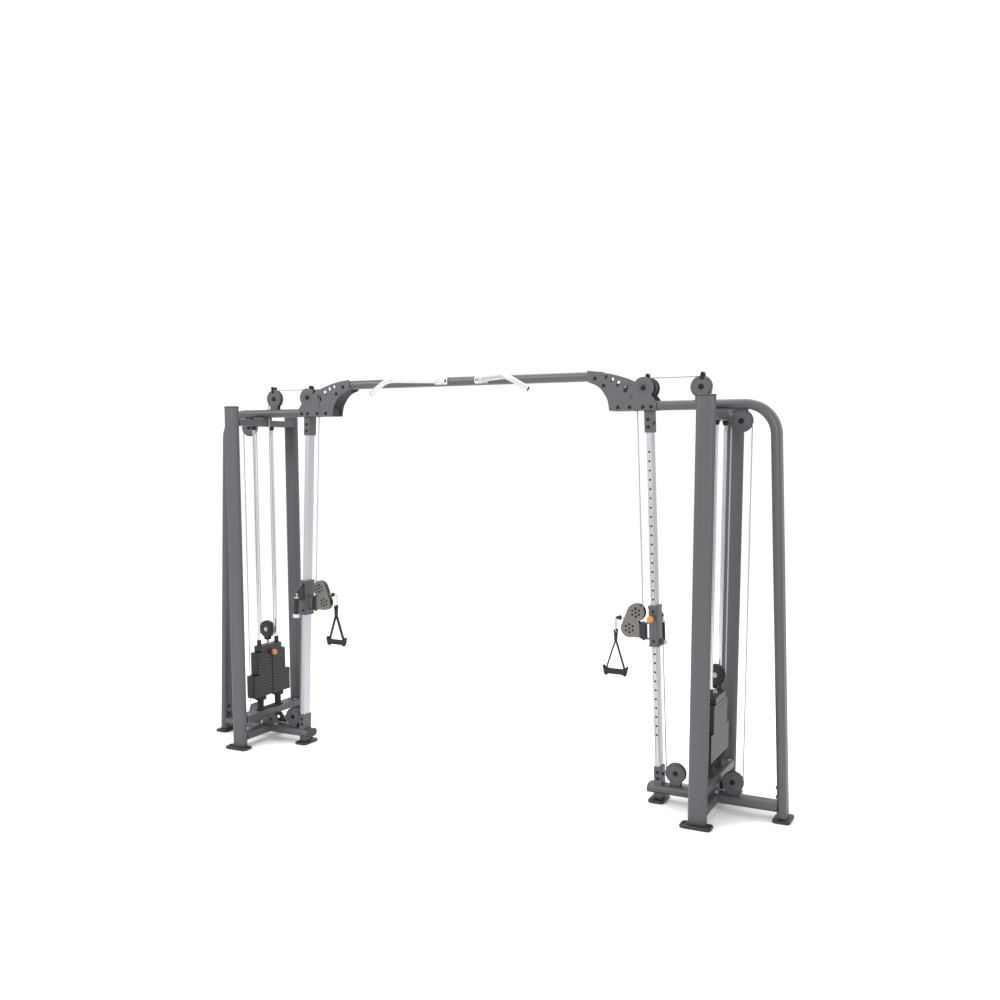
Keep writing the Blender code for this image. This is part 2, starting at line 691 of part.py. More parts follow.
def frame_pulleys():
    """The five wheels that turn on the frame and the one on the weight stack."""
    centres = {
        "top_inner": (TOP_INNER_X, TOP_PULLEY_Z),
        "top_outer": (TOP_OUTER_X, TOP_PULLEY_Z),
        "hanging": (HANGING_X, HANGING_PULLEY_Z),
        "base_outer": (HANGING_X, BASE_PULLEY_Z),
        "base_inner": (BASE_INNER_PULLEY_X, BASE_PULLEY_Z),
        "stack": (TOWER_X, STACK_PULLEY_Z),
    }
    return [pulley(f"right_pulley_{name}", (x, 0, z)) for name, (x, z) in centres.items()]


def small_pulleys():
    """The two wheels inside the swivel housing."""
    centres = {"upper": UPPER_PULLEY, "lower": LOWER_PULLEY}
    sizes = (SMALL_RADIUS, SMALL_PITCH, SMALL_WIDTH)
    return [pulley(f"right_pulley_{name}", centre, *sizes) for name, centre in centres.items()]


# ---------------------------------------------------------------- weight stack


def plate_pile(low, count, depth):
    """A pile of weight plates with a narrow groove between each two."""
    levels = []
    for i in range(count):
        base = low + i * PLATE_Z
        levels += [(PLATE_GROOVE, base), (0.0, base + 0.001), (0.0, base + PLATE_Z - 0.001)]
    levels.append((PLATE_GROOVE, low + count * PLATE_Z))
    rings = []
    for inset, z in levels:
        a, b = PLATE_X / 2 - inset, depth / 2 - inset
        corners = ((-a, -b), (a, -b), (a, b), (-a, b))
        rings.append([(TOWER_X + x, y, z) for x, y in corners])
    return lofted(rings)


def bores(low, high):
    """Cutters for the two guide rods' holes."""
    return [rod(BORE_RADIUS, low, high, "Z", (TOWER_X, y)) for y in (-ROD_Y, ROD_Y)]


def resting_plates():
    """The plates below the selector pin: a wide lower pile and a narrower upper one."""
    lower = plate_pile(STACK_BOTTOM, LOWER_COUNT, LOWER_Y)
    upper = plate_pile(STACK_SPLIT, UPPER_COUNT, UPPER_Y)
    plug_x = (TOWER_X - 0.02, TOWER_X + 0.02)
    plug = box(plug_x, (-0.12, 0.12), (STACK_SPLIT - 0.005, STACK_SPLIT + 0.005))
    low, high = STACK_BOTTOM - 0.1, STACK_TOP + 0.1
    well = rod(STEM_RADIUS + RUN, low, high, "Z", (TOWER_X, 0.0))
    piece = cut(join(lower, plug, upper), *bores(low, high), well)
    return placed(piece, "right_resting_plates", "plate_black")


def stack_head():
    """The head plate and what rises with it.

    These are the plate that the pin holds, the selector stem, the rods' collars and the pulley's
    yoke on its threaded neck.
    """
    low = STACK_TOP + GAP
    half = PLATE_X / 2
    plate = box((TOWER_X - half, TOWER_X + half), (-UPPER_Y / 2, UPPER_Y / 2), (low, low + PLATE_Z))
    head_x = (TOWER_X - half + 0.001, TOWER_X + half - 0.001)
    head = box(head_x, (-HEAD_Y / 2, HEAD_Y / 2), (low + PLATE_Z - 0.001, HEAD_TOP))
    crown = HEAD_TOP + COLLAR_HEIGHT
    collars = [rod(COLLAR_RADIUS, HEAD_TOP - 0.001, crown, "Z", (TOWER_X, y)) for y in (-ROD_Y, ROD_Y)]
    stem = rod(STEM_RADIUS, STACK_BOTTOM + 0.005, low + 0.01, "Z", (TOWER_X, 0.0))
    yoke_top = STACK_PULLEY_Z - PULLEY_RADIUS - 0.003
    neck = rod(0.008, HEAD_TOP - 0.001, yoke_top - 0.004, "Z", (TOWER_X, 0.0))
    yoke_y = CHEEK_INNER + 0.002
    yoke = box((TOWER_X - 0.016, TOWER_X + 0.016), (-yoke_y, yoke_y), (yoke_top - 0.008, yoke_top))
    sides = cheeks(TOWER_X, STACK_PULLEY_Z, yoke_top - 0.007, 0.036)
    piece = join(plate, head, *collars, stem, neck, yoke, *sides)
    pin_way = rod(PIN_RADIUS + RUN, TOWER_X - 0.1, TOWER_X + 0.016, "X", (0.0, PIN_Z))
    piece = cut(piece, *bores(low - 0.1, crown + 0.1), pin_way)
    return placed(piece, "right_stack_head", "plate_black", (TOWER_X, 0, HEAD_TOP))


def selector_pin():
    """A steel pin with a round knob, pushed through the plate into the stem."""
    face = TOWER_X - PLATE_X / 2
    shaft = rod(PIN_RADIUS, face - 0.020, TOWER_X + 0.012, "X", (0.0, PIN_Z))
    near = [(0.002, -0.032), (0.015, -0.032), (KNOB_RADIUS, -0.027)]
    far = [(KNOB_RADIUS, -0.010), (0.012, -0.002), (0.002, -0.002)]
    knob = turned(near + far, 14, "X", (face, 0.0, PIN_Z))
    return placed(join(knob, shaft), "right_selector_pin", "knob_orange", (face, 0, PIN_Z))


def bumpers():
    """The rubber buffers round the two rods' feet, on one strip."""
    low = RAIL_HIGH + GAP
    top = STACK_BOTTOM - GAP
    strip_y = ROD_Y + BUMPER_RADIUS + 0.008
    strip = box((TOWER_X - 0.024, TOWER_X + 0.024), (-strip_y, strip_y), (low, low + 0.004))
    sides = (-ROD_Y, ROD_Y)
    posts = [rod(BUMPER_RADIUS, low + 0.001, top - 0.010, "Z", (TOWER_X, y), 16) for y in sides]
    discs = [rod(DISC_RADIUS, top - DISC_THICK, top, "Z", (TOWER_X, y), 16) for y in sides]
    piece = cut(join(strip, *posts, *discs), *bores(low - 0.1, top + 0.1))
    return placed(piece, "right_bumpers", "rubber_black")


# ---------------------------------------------------------------- carriage


def carriage():
    """The sleeve on the column with all that is welded to it.

    These are the swivel's two lugs and pivot, the pop pin's barrel, the cable's anchor, and the arm
    behind with its upright grip.
    """
    section = rounded(2 * SLEEVE_HALF_U, 2 * SLEEVE_HALF_Y, 0.006, steps=1)
    sleeve = extrude(section, SLEEVE_LOW, SLEEVE_HIGH)
    root = -SLEEVE_HALF_U + 0.003
    lug = arc((-STRAND_INNER, 0), LUG_HALF, 90, 270, 6) + [(root, -LUG_HALF), (root, LUG_HALF)]
    lower_lug = SWIVEL_LOW - GAP - LUG_THICK
    lugs = [extrude(lug, low, low + LUG_THICK) for low in (lower_lug, SWIVEL_HIGH + GAP)]
    pivot_ends = (SWIVEL_LOW - 0.003, SWIVEL_HIGH + 0.003)
    pivot = rod(PIVOT_RADIUS, *pivot_ends, "Z", (-STRAND_INNER, 0.0))
    front = -SLEEVE_HALF_Y
    barrel = rod(0.013, front - BARREL_LENGTH, front + 0.004, "Y", (0.0, 0.0))
    anchor_w = (SLEEVE_LOW + ANCHOR_LOW, SLEEVE_LOW + ANCHOR_LOW + 0.028)
    anchor = box((SLEEVE_HALF_U - 0.004, STRAND_OUTER + 0.006), (-0.006, 0.006), anchor_w)
    piece = join(sleeve, *lugs, pivot, barrel, anchor, *rear_grip())
    width, depth = COLUMN_X + 2 * RUN, COLUMN_Y + 2 * RUN
    bore = extrude(rounded(width, depth, 0.003, steps=1), SLEEVE_LOW - 0.1, SLEEVE_HIGH + 0.1)
    pin_way = rod(PIN_RADIUS + RUN, front - 0.1, 0.0, "Y", (0.0, 0.0))
    return ridden(cut(piece, bore, pin_way), "right_carriage", "frame_coat")


def rear_grip():
    """The arm plate on the sleeve's rear face and the upright grip that hangs from it."""
    root = SLEEVE_HALF_Y - 0.003
    tip = GRIP_Y + 0.012
    outline = [(root, 0.052), (tip, 0.002), (tip, GRIP_HIGH), (root, GRIP_HIGH - 0.025)]
    arm = extrude(outline, GRIP_U - ARM_THICK / 2, GRIP_U + ARM_THICK / 2, "X")
    grip = rod(GRIP_RADIUS, GRIP_LOW + 0.004, GRIP_HIGH + 0.006, "Z", (GRIP_U, GRIP_Y), 14)
    flange = rod(FLANGE_RADIUS, GRIP_LOW, GRIP_LOW + FLANGE_THICK, "Z", (GRIP_U, GRIP_Y), 14)
    return [arm, grip, flange]


def pop_pin():
    """The pull knob on the front of the carriage, whose pin drops into the column's holes."""
    front = -SLEEVE_HALF_Y - BARREL_LENGTH - GAP
    shaft = rod(PIN_RADIUS, front - 0.020, -COLUMN_Y / 2 - RUN, "Y", (0.0, 0.0))
    tip = front - 0.042
    near = [(0.002, front), (0.010, front), (0.013, front - 0.010)]
    near.append((POP_KNOB_RADIUS, front - 0.018))
    far = [(POP_KNOB_RADIUS, front - 0.036), (0.014, tip), (0.002, tip)]
    piece = join(turned(near + far, 14), shaft)
    return ridden(piece, "right_pop_pin", "knob_orange", y=front)


def housing_outline(inset):
    """The swivel housing's side view: round about both small pulleys, square by the swivel block."""
    upper = (UPPER_PULLEY_U, UPPER_PULLEY_W)
    lower = (LOWER_PULLEY_U, LOWER_PULLEY_W)
    radius = HOUSING_RADIUS - inset
    right = -STRAND_INNER - SWIVEL_HALF + 0.001 - inset
    slope = math.degrees(math.atan2(upper[1] - lower[1], upper[0] - lower[0]))
    points = arc(upper, radius, -75, slope + 90, 12)
    points += arc(lower, radius, slope + 90, 270, 6)
    points += [(right, LOWER_PULLEY_W - radius), (right, SWIVEL_HIGH + 0.004)]
    return points


def housing():
    """The swivel housing: a hollow shell round the small pulleys, their axles and the swivel block."""
    half = HOUSING_THICK / 2
    inner = half - HOUSING_SKIN
    shell = extrude(housing_outline(0.0), -half, half, "Y")
    hollow = extrude(housing_outline(HOUSING_SKIN), -inner, inner, "Y")
    mouth_w = (EXIT_W - 0.010, EXIT_W + 0.010)
    mouth = box((HOUSING_LEFT - 0.01, LOWER_PULLEY_U), (-0.010, 0.010), mouth_w)
    throat_w = (UPPER_PULLEY_W - 0.038, UPPER_PULLEY_W + 0.1)
    throat = box((-STRAND_INNER - 0.012, 0.0), (-inner, inner), throat_w)
    block_u = (-STRAND_INNER - SWIVEL_HALF, -STRAND_INNER + SWIVEL_HALF)
    block = box(block_u, (-half + 0.001, half - 0.001), (SWIVEL_LOW, SWIVEL_HIGH))
    reach = half - HOUSING_SKIN / 2
    centres = ((UPPER_PULLEY_U, UPPER_PULLEY_W), (LOWER_PULLEY_U, LOWER_PULLEY_W))
    axles = [rod(AXLE_RADIUS, -reach, reach, "Y", centre) for centre in centres]
    piece = join(cut(shell, hollow, mouth, throat), block, *axles)
    bore_ends = (SWIVEL_LOW - 0.1, SWIVEL_HIGH + 0.1)
    bore = rod(PIVOT_RADIUS + AXLE_PLAY, *bore_ends, "Z", (-STRAND_INNER, 0.0))
    return ridden(cut(piece, bore), "right_swivel_housing", "housing_grey", u=-STRAND_INNER)


# ---------------------------------------------------------------- handle and cable


def carabiner():
    """A closed oval of wire in the Y-Z plane."""
    rise = CARABINER_DROP / 2 - CARABINER_HALF
    middle = RING_TOP - CARABINER_DROP / 2
    outline = arc((0, middle + rise), CARABINER_HALF, 0, 180, 6)
    outline += arc((0, middle - rise), CARABINER_HALF, 180, 360, 6)
    return tube([(EYE_X, y, z) for y, z in outline], WIRE_RADIUS, 1, closed=True)


def cable_stop():
    """The tapered rubber stop on the cable's end, its eye, and the carabiner that hangs in it."""
    bore = CABLE_RADIUS + 0.0015
    profile = [(bore, 0.0), (0.0125, 0.0), (0.013, -0.008)]
    profile += [(0.0065, -STOP_LENGTH), (bore, -STOP_LENGTH)]
    stop = turned(profile, 12, "X", (STOP_X, 0.0, STOP_Z))
    core = rod(0.0055, EYE_X - 0.004, STOP_X - 0.012, "X", (0.0, STOP_Z), 8)
    piece = join(stop, core, carabiner())
    return placed(piece, "right_cable_stop", "rubber_black", (STOP_X, 0, STOP_Z))


def handle():
    """The sewn tab on the carabiner, the strap's two legs and a round grip with end caps."""
    grip_z = HOOK_Z - GRIP_DROP
    apex_z = HOOK_Z - STRAP_LOOP
    top = HOOK_Z + 0.013
    shoulder = top - 0.006
    outline = [(-0.011, apex_z), (0.011, apex_z), (0.011, shoulder)]
    outline += [(0.005, top), (-0.005, top), (-0.011, shoulder)]
    tab = extrude([(EYE_X + x, z) for x, z in outline], -0.008, 0.008, "Y")
    eye = extrude(rounded(0.014, 0.022, 0.004, (EYE_X, HOOK_Z - 0.003), 2), -0.1, 0.1, "Y")
    slim = STRAP_THICK / 2
    wide = STRAP_WIDE / 2
    reach = HAND_LENGTH / 2
    high = apex_z + 0.008
    legs = []
    caps = []
    for side in (1, -1):
        foot_x = EYE_X + side * (reach - 0.004)
        outline = [(EYE_X - slim, high), (EYE_X + slim, high)]
        outline += [(foot_x + slim, grip_z), (foot_x - slim, grip_z)]
        legs.append(extrude(outline, -wide, wide, "Y"))
        ends = sorted((EYE_X + side * (reach - 0.012), EYE_X + side * reach))
        caps.append(rod(HAND_CAP_RADIUS, *ends, "X", (0.0, grip_z), 14))
    grip = rod(HAND_RADIUS, EYE_X - reach + 0.004, EYE_X + reach - 0.004, "X", (0.0, grip_z), 14)
    piece = join(cut(tab, eye), *legs, grip, *caps)
    return placed(piece, "right_handle", "rubber_black", (EYE_X, 0, HOOK_Z))


def around(x, z, radius, start, end):
    """The cable's points round a pulley, about every 15 degrees."""
    steps = max(2, round(abs(end - start) / 15))
    return [(px, 0.0, pz) for px, pz in arc((x, z), radius, start, end, steps)]


def cable():
    """The whole cable, from the stop to its anchor on the carriage.

    It runs through the housing, up beside the column, over the top, down round the stack's pulley,
    over the hanging pulley, down the outside, along the base and up to the anchor.
    """
    lean = math.degrees(LEAN)
    route = [(STOP_X - 0.006, 0.0, STOP_Z)]
    route += around(UPPER_PULLEY.x, UPPER_PULLEY.z, SMALL_PITCH, -90, lean)
    route += around(TOP_INNER_X, TOP_PULLEY_Z, PITCH_RADIUS, 180 + lean, 90)
    route += around(TOP_OUTER_X, TOP_PULLEY_Z, PITCH_RADIUS, 90, 0)
    route += around(TOWER_X, STACK_PULLEY_Z, PITCH_RADIUS, 180, 360)
    route += around(HANGING_X, HANGING_PULLEY_Z, PITCH_RADIUS, 180, 0)
    route += around(HANGING_X, BASE_PULLEY_Z, PITCH_RADIUS, 0, -90)
    route += around(BASE_INNER_PULLEY_X, BASE_PULLEY_Z, PITCH_RADIUS, -90, -180 + lean)
    route.append(tuple(carriage_point(STRAND_OUTER, SLEEVE_LOW + ANCHOR_LOW - GAP)))
    return placed(tube(route, CABLE_RADIUS, 1), "right_cable", "cable_grey")


# ---------------------------------------------------------------- the whole machine

for stale in list(bpy.data.objects):
    bpy.data.objects.remove(stale, do_unlink=True)
FINISH = {name: make_finish(name) for name in FINISHES}

crossbar()
frame_and_stack = [
    upright("right_front_upright", -1),
    upright("right_rear_upright", 1),
    bent_tube(),
    base_frame(),
    top_rail(),
    gusset("right_front_gusset", -1),
    gusset("right_rear_gusset", 1),
    guide_rod("right_front_rod", -ROD_Y),
    guide_rod("right_rear_rod", ROD_Y),
    resting_plates(),
    stack_head(),
    selector_pin(),
    bumpers(),
    cable(),
    pullup_handle(),
    *frame_pulleys(),
]
column_and_carriage = [
    column(),
    carriage(),
    pop_pin(),
    housing(),
    cable_stop(),
    handle(),
    *small_pulleys(),
]
for piece in frame_and_stack:
    mirrored(piece)
for piece in column_and_carriage:
    half_turned(piece)
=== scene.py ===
"""Visual model of a cable crossover machine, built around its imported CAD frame.

Metres, +Z up, X along the crossbar, -Y towards the user. Every piece of the right tower is worked out
here. The left frame mirrors it in x = 0, and the left column and carriage are it turned half round.
"""

import json
import math

import bpy
import numpy as np
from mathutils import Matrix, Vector
from mathutils.geometry import tessellate_polygon


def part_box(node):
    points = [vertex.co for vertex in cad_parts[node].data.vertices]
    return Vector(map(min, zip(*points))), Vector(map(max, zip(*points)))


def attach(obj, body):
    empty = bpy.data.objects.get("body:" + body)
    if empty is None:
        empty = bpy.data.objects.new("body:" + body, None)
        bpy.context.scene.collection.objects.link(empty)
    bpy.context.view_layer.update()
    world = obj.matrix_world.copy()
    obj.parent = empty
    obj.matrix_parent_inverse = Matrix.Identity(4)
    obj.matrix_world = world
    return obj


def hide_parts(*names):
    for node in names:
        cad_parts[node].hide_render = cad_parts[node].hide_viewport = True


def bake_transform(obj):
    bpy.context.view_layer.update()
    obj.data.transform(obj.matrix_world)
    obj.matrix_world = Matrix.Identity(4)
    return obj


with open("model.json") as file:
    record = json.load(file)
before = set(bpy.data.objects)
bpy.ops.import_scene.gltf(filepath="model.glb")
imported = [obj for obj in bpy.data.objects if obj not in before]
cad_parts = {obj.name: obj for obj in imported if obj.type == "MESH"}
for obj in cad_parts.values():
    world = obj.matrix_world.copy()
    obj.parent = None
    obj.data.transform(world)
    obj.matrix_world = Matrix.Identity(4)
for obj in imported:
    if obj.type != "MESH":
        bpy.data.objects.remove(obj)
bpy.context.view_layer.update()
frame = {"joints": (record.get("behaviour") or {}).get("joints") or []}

bl_info = {
    "name": "Cable Crossover Machine",
    "version": (1, 0, 0),
    "blender": (4, 5, 0),
    "location": "View3D > Sidebar > Crossover",
    "description": "Builds a two-tower cable crossover machine round its CAD frame",
    "category": "Add Mesh",
}

JOINTS = {joint["name"]: joint for joint in frame["joints"]}


def axle_of(wheel):
    """Centre of one of the right tower's wheels."""
    return np.array(JOINTS[f"right_wheel_{wheel}_spin"]["pos_m"], float)


def corners_of(node):
    """A CAD node's lowest and highest corner as arrays."""
    low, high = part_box(node)
    return np.array(low), np.array(high)


# ---------------------------------------------------------------- places, from the CAD frame

Y_AXIS = np.array([0.0, 1.0, 0.0])
UP_COLUMN = np.array(JOINTS["right_carriage_slide"]["axis"], float)
UP_COLUMN = UP_COLUMN / np.linalg.norm(UP_COLUMN)
OUT_COLUMN = np.array([UP_COLUMN[2], 0.0, -UP_COLUMN[0]])
LEAN = math.atan2(-UP_COLUMN[0], UP_COLUMN[2])
SWIVEL = np.array(JOINTS["right_housing_swivel"]["pos_m"], float)
STRAND_U = -0.070  # inner cable strand and swivel axis, from the column's middle
ANCHOR_U = 0.040  # outer cable strand
PIN_UP_COLUMN = 0.928
PIN_POINT = SWIVEL - STRAND_U * OUT_COLUMN

TOP_INNER = axle_of("top_inner")
TOP_OUTER = axle_of("top_outer")
HANGING = axle_of("hanging")
BASE_OUTER = axle_of("base_outer")
BASE_INNER = axle_of("base_inner")
STACK_WHEEL = axle_of("stack")
UPPER_WHEEL = axle_of("upper")
LOWER_WHEEL = axle_of("lower")

UPRIGHT_LOW, UPRIGHT_HIGH = corners_of("right_front_upright")
TOWER_X = STACK_WHEEL[0]
UPRIGHT_Y = 0.294
TUBE_LONG = 0.100
TUBE_THIN = 0.050
BEAM_Z = HANGING[2] + 0.062 + TUBE_THIN / 2
BEAM_LOW = BEAM_Z - TUBE_THIN / 2
BEAM_HIGH = BEAM_Z + TUBE_THIN / 2
BASE_Z = BASE_OUTER[2] - 0.069 - TUBE_THIN / 2
BASE_TOP = BASE_Z + TUBE_THIN / 2
BEND_RADIUS = 0.165
BEAM_START_X = corners_of("right_bent_tube")[0][0]
LEG_FOOT_X = corners_of("right_bent_tube")[1][0] - TUBE_THIN / 2 - 0.022
BASE_START_X = corners_of("right_base_frame")[0][0]
COLUMN_LENGTH = (BEAM_LOW - BASE_TOP) / math.cos(LEAN) - 0.003
CROSSBAR_Z = (corners_of("crossbar")[0][2] + corners_of("crossbar")[1][2]) / 2
CROSSBAR_END = corners_of("crossbar")[1][0]
ROD_Y = corners_of("right_rear_rod")[1][1] - 0.0095
ROD_LOW, ROD_HIGH = corners_of("right_rear_rod")
PITCH = 0.054  # wheel centre to the cable's middle
SMALL_PITCH = 0.037
WHEEL_RIM = 0.058
SMALL_RIM = 0.0455
WHEEL_WIDTH = 0.020
SMALL_WIDTH = 0.018
CHEEK_NEAR, CHEEK_FAR = 0.0112, 0.0152  # a side plate's two faces, from the wheel's middle
GUSSET_NEAR, GUSSET_FAR = 0.0503, 0.0563  # a gusset plate's two faces, from the beam's middle
COLUMN_THIN, COLUMN_DEEP = 0.030, 0.060
BRACKET_HEIGHT = 0.112
HOLE_MARGIN = 0.050  # bare column left below the top bracket
HOLE_FIRST = 0.278  # up the column
HOLE_PITCH = 0.050
HOLE_COUNT = int((COLUMN_LENGTH - BRACKET_HEIGHT - HOLE_MARGIN - HOLE_FIRST) / HOLE_PITCH)
STACK_RAIL_TOP = 0.208
COLUMN_FOOT = (1.219, 0.005)
GRIP_SPOT = (0.005, 0.105, 0)  # the carriage's upright grip, from the pin
STACK_LOW = corners_of("right_resting_plates")[0][2]
PLATE_RISE = 0.0212
LOWER_PLATES = 7
UPPER_PLATES = 6
STACK_TOP = STACK_LOW + (LOWER_PLATES + UPPER_PLATES) * PLATE_RISE
HEAD_TOP = STACK_TOP + PLATE_RISE + 0.040
HOOK = np.array(JOINTS["right_handle_swing"]["pos_m"], float)
STOP_START = corners_of("right_cable_stop")[1][0]
STOP_Z = HOOK[2] + 0.080 - 0.0035


def chosen(name):
    """One of the sizes set in the panel, in metres."""
    return getattr(bpy.context.scene.crossover_sizes, name)


def up_column(along):
    """The point a distance up the column's middle line."""
    return PIN_POINT + (along - PIN_UP_COLUMN) * UP_COLUMN


# ---------------------------------------------------------------- surfaces worked out with numpy

ROUND = np.radians([0.0, 45.0, 90.0])
PLACES = {"xy": (0, 1, 2), "xz": (0, 2, 1), "yz": (1, 2, 0)}


class Skin:
    """A closed surface: points, blocks of faces with equal corner counts, and the way along it."""

    def __init__(self, points, faces, along=None):
        self.points = np.asarray(points, float)
        self.faces = [np.asarray(block) for block in faces]
        self.along = np.zeros(len(self.points)) if along is None else along
        if self.volume() < 0:
            self.faces = [block[:, ::-1] for block in self.faces]

    def volume(self):
        """Six times the signed volume: each face's fan of triangles, as triple products summed."""
        total = 0.0
        for block in self.faces:
            first = self.points[block[:, 0]]
            for i in range(1, block.shape[1] - 1):
                total += np.sum(first * np.cross(self.points[block[:, i]], self.points[block[:, i + 1]]))
        return total

    def moved(self, origin=(0, 0, 0), x=(1, 0, 0), y=(0, 1, 0), z=(0, 0, 1)):
        """The surface with its own axes laid along x, y and z from an origin."""
        points = self.points @ np.array([x, y, z], float) + np.array(origin, float)
        return Skin(points, self.faces, self.along)


def on_carriage(skin):
    """A surface drawn as (out from the column, y, up from the pin) in its place."""
    return skin.moved(PIN_POINT, OUT_COLUMN, Y_AXIS, UP_COLUMN)


def unit(vectors):
    """Each vector divided by its own length."""
    return vectors / np.linalg.norm(vectors, axis=-1, keepdims=True)


def grid_quads(rows, columns, ring=False):
    """Quads of a grid whose columns close on themselves, and whose rows do too when it is a ring."""
    row, column = np.meshgrid(np.arange(rows if ring else rows - 1), np.arange(columns), indexing="ij")
    below, beside = (row + 1) % rows, (column + 1) % columns
    here, there = row * columns, below * columns
    corners = [here + column, here + beside, there + beside, there + column]
    return np.stack(corners, -1).reshape(-1, 4)


def circle(radius, sides=24, centre=(0.0, 0.0), start=0.0):
    """Points at equal angles on a circle, anticlockwise."""
    angle = start + np.arange(sides) * 2 * np.pi / sides
    return np.stack([centre[0] + radius * np.cos(angle), centre[1] + radius * np.sin(angle)], -1)


def arc(centre, radius, start, end, steps):
    """Points on an arc from one angle to another, in degrees, both ends included."""
    angle = np.radians(np.linspace(start, end, steps + 1))
    return np.stack([centre[0] + radius * np.cos(angle), centre[1] + radius * np.sin(angle)], -1)


def rounded(width, height, radius, centre=(0.0, 0.0), steps=5):
    """A rectangle with quarter-circle corners, anticlockwise."""
    dx, dy = width / 2 - radius, height / 2 - radius
    spots = ((dx, dy, 0), (-dx, dy, 90), (-dx, -dy, 180), (dx, -dy, 270))
    return np.concatenate(
        [arc((centre[0] + x, centre[1] + y), radius, a, a + 90, steps) for x, y, a in spots]
    )


def flat_oval(margin=0.0, steps=14):
    """The tube section: two half circles joined by straight sides, its long way first."""
    reach = (TUBE_LONG - TUBE_THIN) / 2
    radius = TUBE_THIN / 2 + margin
    return np.concatenate([arc((reach, 0), radius, -90, 90, steps), arc((-reach, 0), radius, 90, 270, steps)])


def corner_ways(loop):
    """Outward steps that move every side of an anticlockwise outline by one: mitred side normals."""
    ahead = unit(np.roll(loop, -1, 0) - loop)
    normal = np.stack([ahead[:, 1], -ahead[:, 0]], -1)
    both = normal + np.roll(normal, 1, 0)
    return both * 2 / np.maximum(np.sum(both * both, -1, keepdims=True), 0.5)


def end_rows(edge):
    """Depths and insets of the rows that round an end off over a quarter circle."""
    if edge == 0:
        return np.zeros(1), np.zeros(1)
    return edge * (1 - np.cos(ROUND)), edge * (1 - np.sin(ROUND))


def prism(loops, low, high, edge=0.001, plane="xy"):
    """An outline, less its clockwise holes, carried from low to high with its rims rounded by edge."""
    loops = loops if isinstance(loops, list) else [loops]
    edges = edge if isinstance(edge, tuple) else (edge, edge)
    depth_a, inset_a = end_rows(edges[0])
    depth_b, inset_b = end_rows(edges[1])
    levels = np.concatenate([low + depth_a, (high - depth_b)[::-1]])
    insets = np.concatenate([inset_a, inset_b[::-1]])
    rows = len(levels)
    points, faces, bottom, top, start = [], [], [], [], 0
    for loop in loops:
        count = len(loop)
        rings = loop[None] - insets[:, None, None] * corner_ways(loop)[None]
        height = np.broadcast_to(levels[:, None, None], (rows, count, 1))
        points.append(np.concatenate([rings, height], -1).reshape(-1, 3))
        faces.append(grid_quads(rows, count) + start)
        bottom.append(start + np.arange(count))
        top.append(start + (rows - 1) * count + np.arange(count))
        start += rows * count
    points = np.concatenate(points)
    bottom, top = np.concatenate(bottom), np.concatenate(top)
    if len(loops) == 1:
        faces += [top[None], bottom[None, ::-1]]
    else:
        caps = np.array(tessellate_polygon([[Vector((x, y, 0)) for x, y in loop] for loop in loops]))
        flat = np.concatenate(loops)
        a, b, c = flat[caps[:, 0]], flat[caps[:, 1]], flat[caps[:, 2]]
        turn = (b - a)[:, 0] * (c - a)[:, 1] - (b - a)[:, 1] * (c - a)[:, 0]
        caps[turn < 0] = caps[turn < 0][:, ::-1]
        faces += [top[caps], bottom[caps][:, ::-1]]
    return in_plane(points, faces, plane)


def in_plane(points, faces, plane, at=(0, 0, 0)):
    """A surface drawn in (a, b, c), laid on the plane it was drawn for."""
    laid = np.empty_like(points)
    laid[:, PLACES[plane]] = points
    return Skin(laid + np.array(at, float), faces)


def lathed(profile, plane="xz", at=(0, 0, 0), sides=48, ring=False):
    """A profile of (radius, distance along the axis) spun about the axis square to a plane."""
    profile = np.array(profile, float)
    angle = np.arange(sides) * 2 * np.pi / sides
    radius = profile[:, :1]
    along = np.broadcast_to(profile[:, 1:], (len(profile), sides))
    points = np.stack([radius * np.cos(angle), radius * np.sin(angle), along], -1).reshape(-1, 3)
    faces = [grid_quads(len(profile), sides, ring)]
    if not ring:
        last = (len(profile) - 1) * sides
        faces += [np.arange(sides)[None, ::-1], last + np.arange(sides)[None]]
    return in_plane(points, faces, plane, at)


def drum(radius, low, high, plane="xz", at=(0, 0, 0), edge=0.001, sides=32):
    """A cylinder with its two rims rounded."""
    depth, inset = end_rows(edge)
    first = np.stack([radius - inset, low + depth], -1)
    last = np.stack([radius - inset, high - depth], -1)[::-1]
    return lathed(np.concatenate([first, last]), plane, at, sides)


def swept(section, path, side, up, edge=0.001):
    """A section carried along a path: each point is path plus a times side plus b times up."""
    depth, inset = end_rows(edge)
    path = np.array(path, float)
    side = np.broadcast_to(side, path.shape)
    up = np.broadcast_to(up, path.shape)
    leave, arrive = unit(path[1] - path[0]), unit(path[-2] - path[-1])
    rows = len(depth)
    head, tail = path[0] + depth[:, None] * leave, (path[-1] + depth[:, None] * arrive)[::-1]
    stations = np.concatenate([head, path[1:-1], tail])
    sides = np.concatenate([np.repeat(side[:1], rows, 0), side[1:-1], np.repeat(side[-1:], rows, 0)])
    ups = np.concatenate([np.repeat(up[:1], rows, 0), up[1:-1], np.repeat(up[-1:], rows, 0)])
    insets = np.concatenate([inset, np.zeros(len(path) - 2), inset[::-1]])
    rings = section[None] - insets[:, None, None] * corner_ways(section)[None]
    points = stations[:, None] + rings[..., :1] * sides[:, None] + rings[..., 1:] * ups[:, None]
    count = len(section)
    last = (len(stations) - 1) * count
    faces = [grid_quads(len(stations), count), np.arange(count)[None, ::-1], last + np.arange(count)[None]]
    steps = np.linalg.norm(np.diff(stations, axis=0), axis=1)
    along = np.repeat(np.concatenate([[0.0], np.cumsum(steps)]), count)
    return Skin(points.reshape(-1, 3), faces, along)


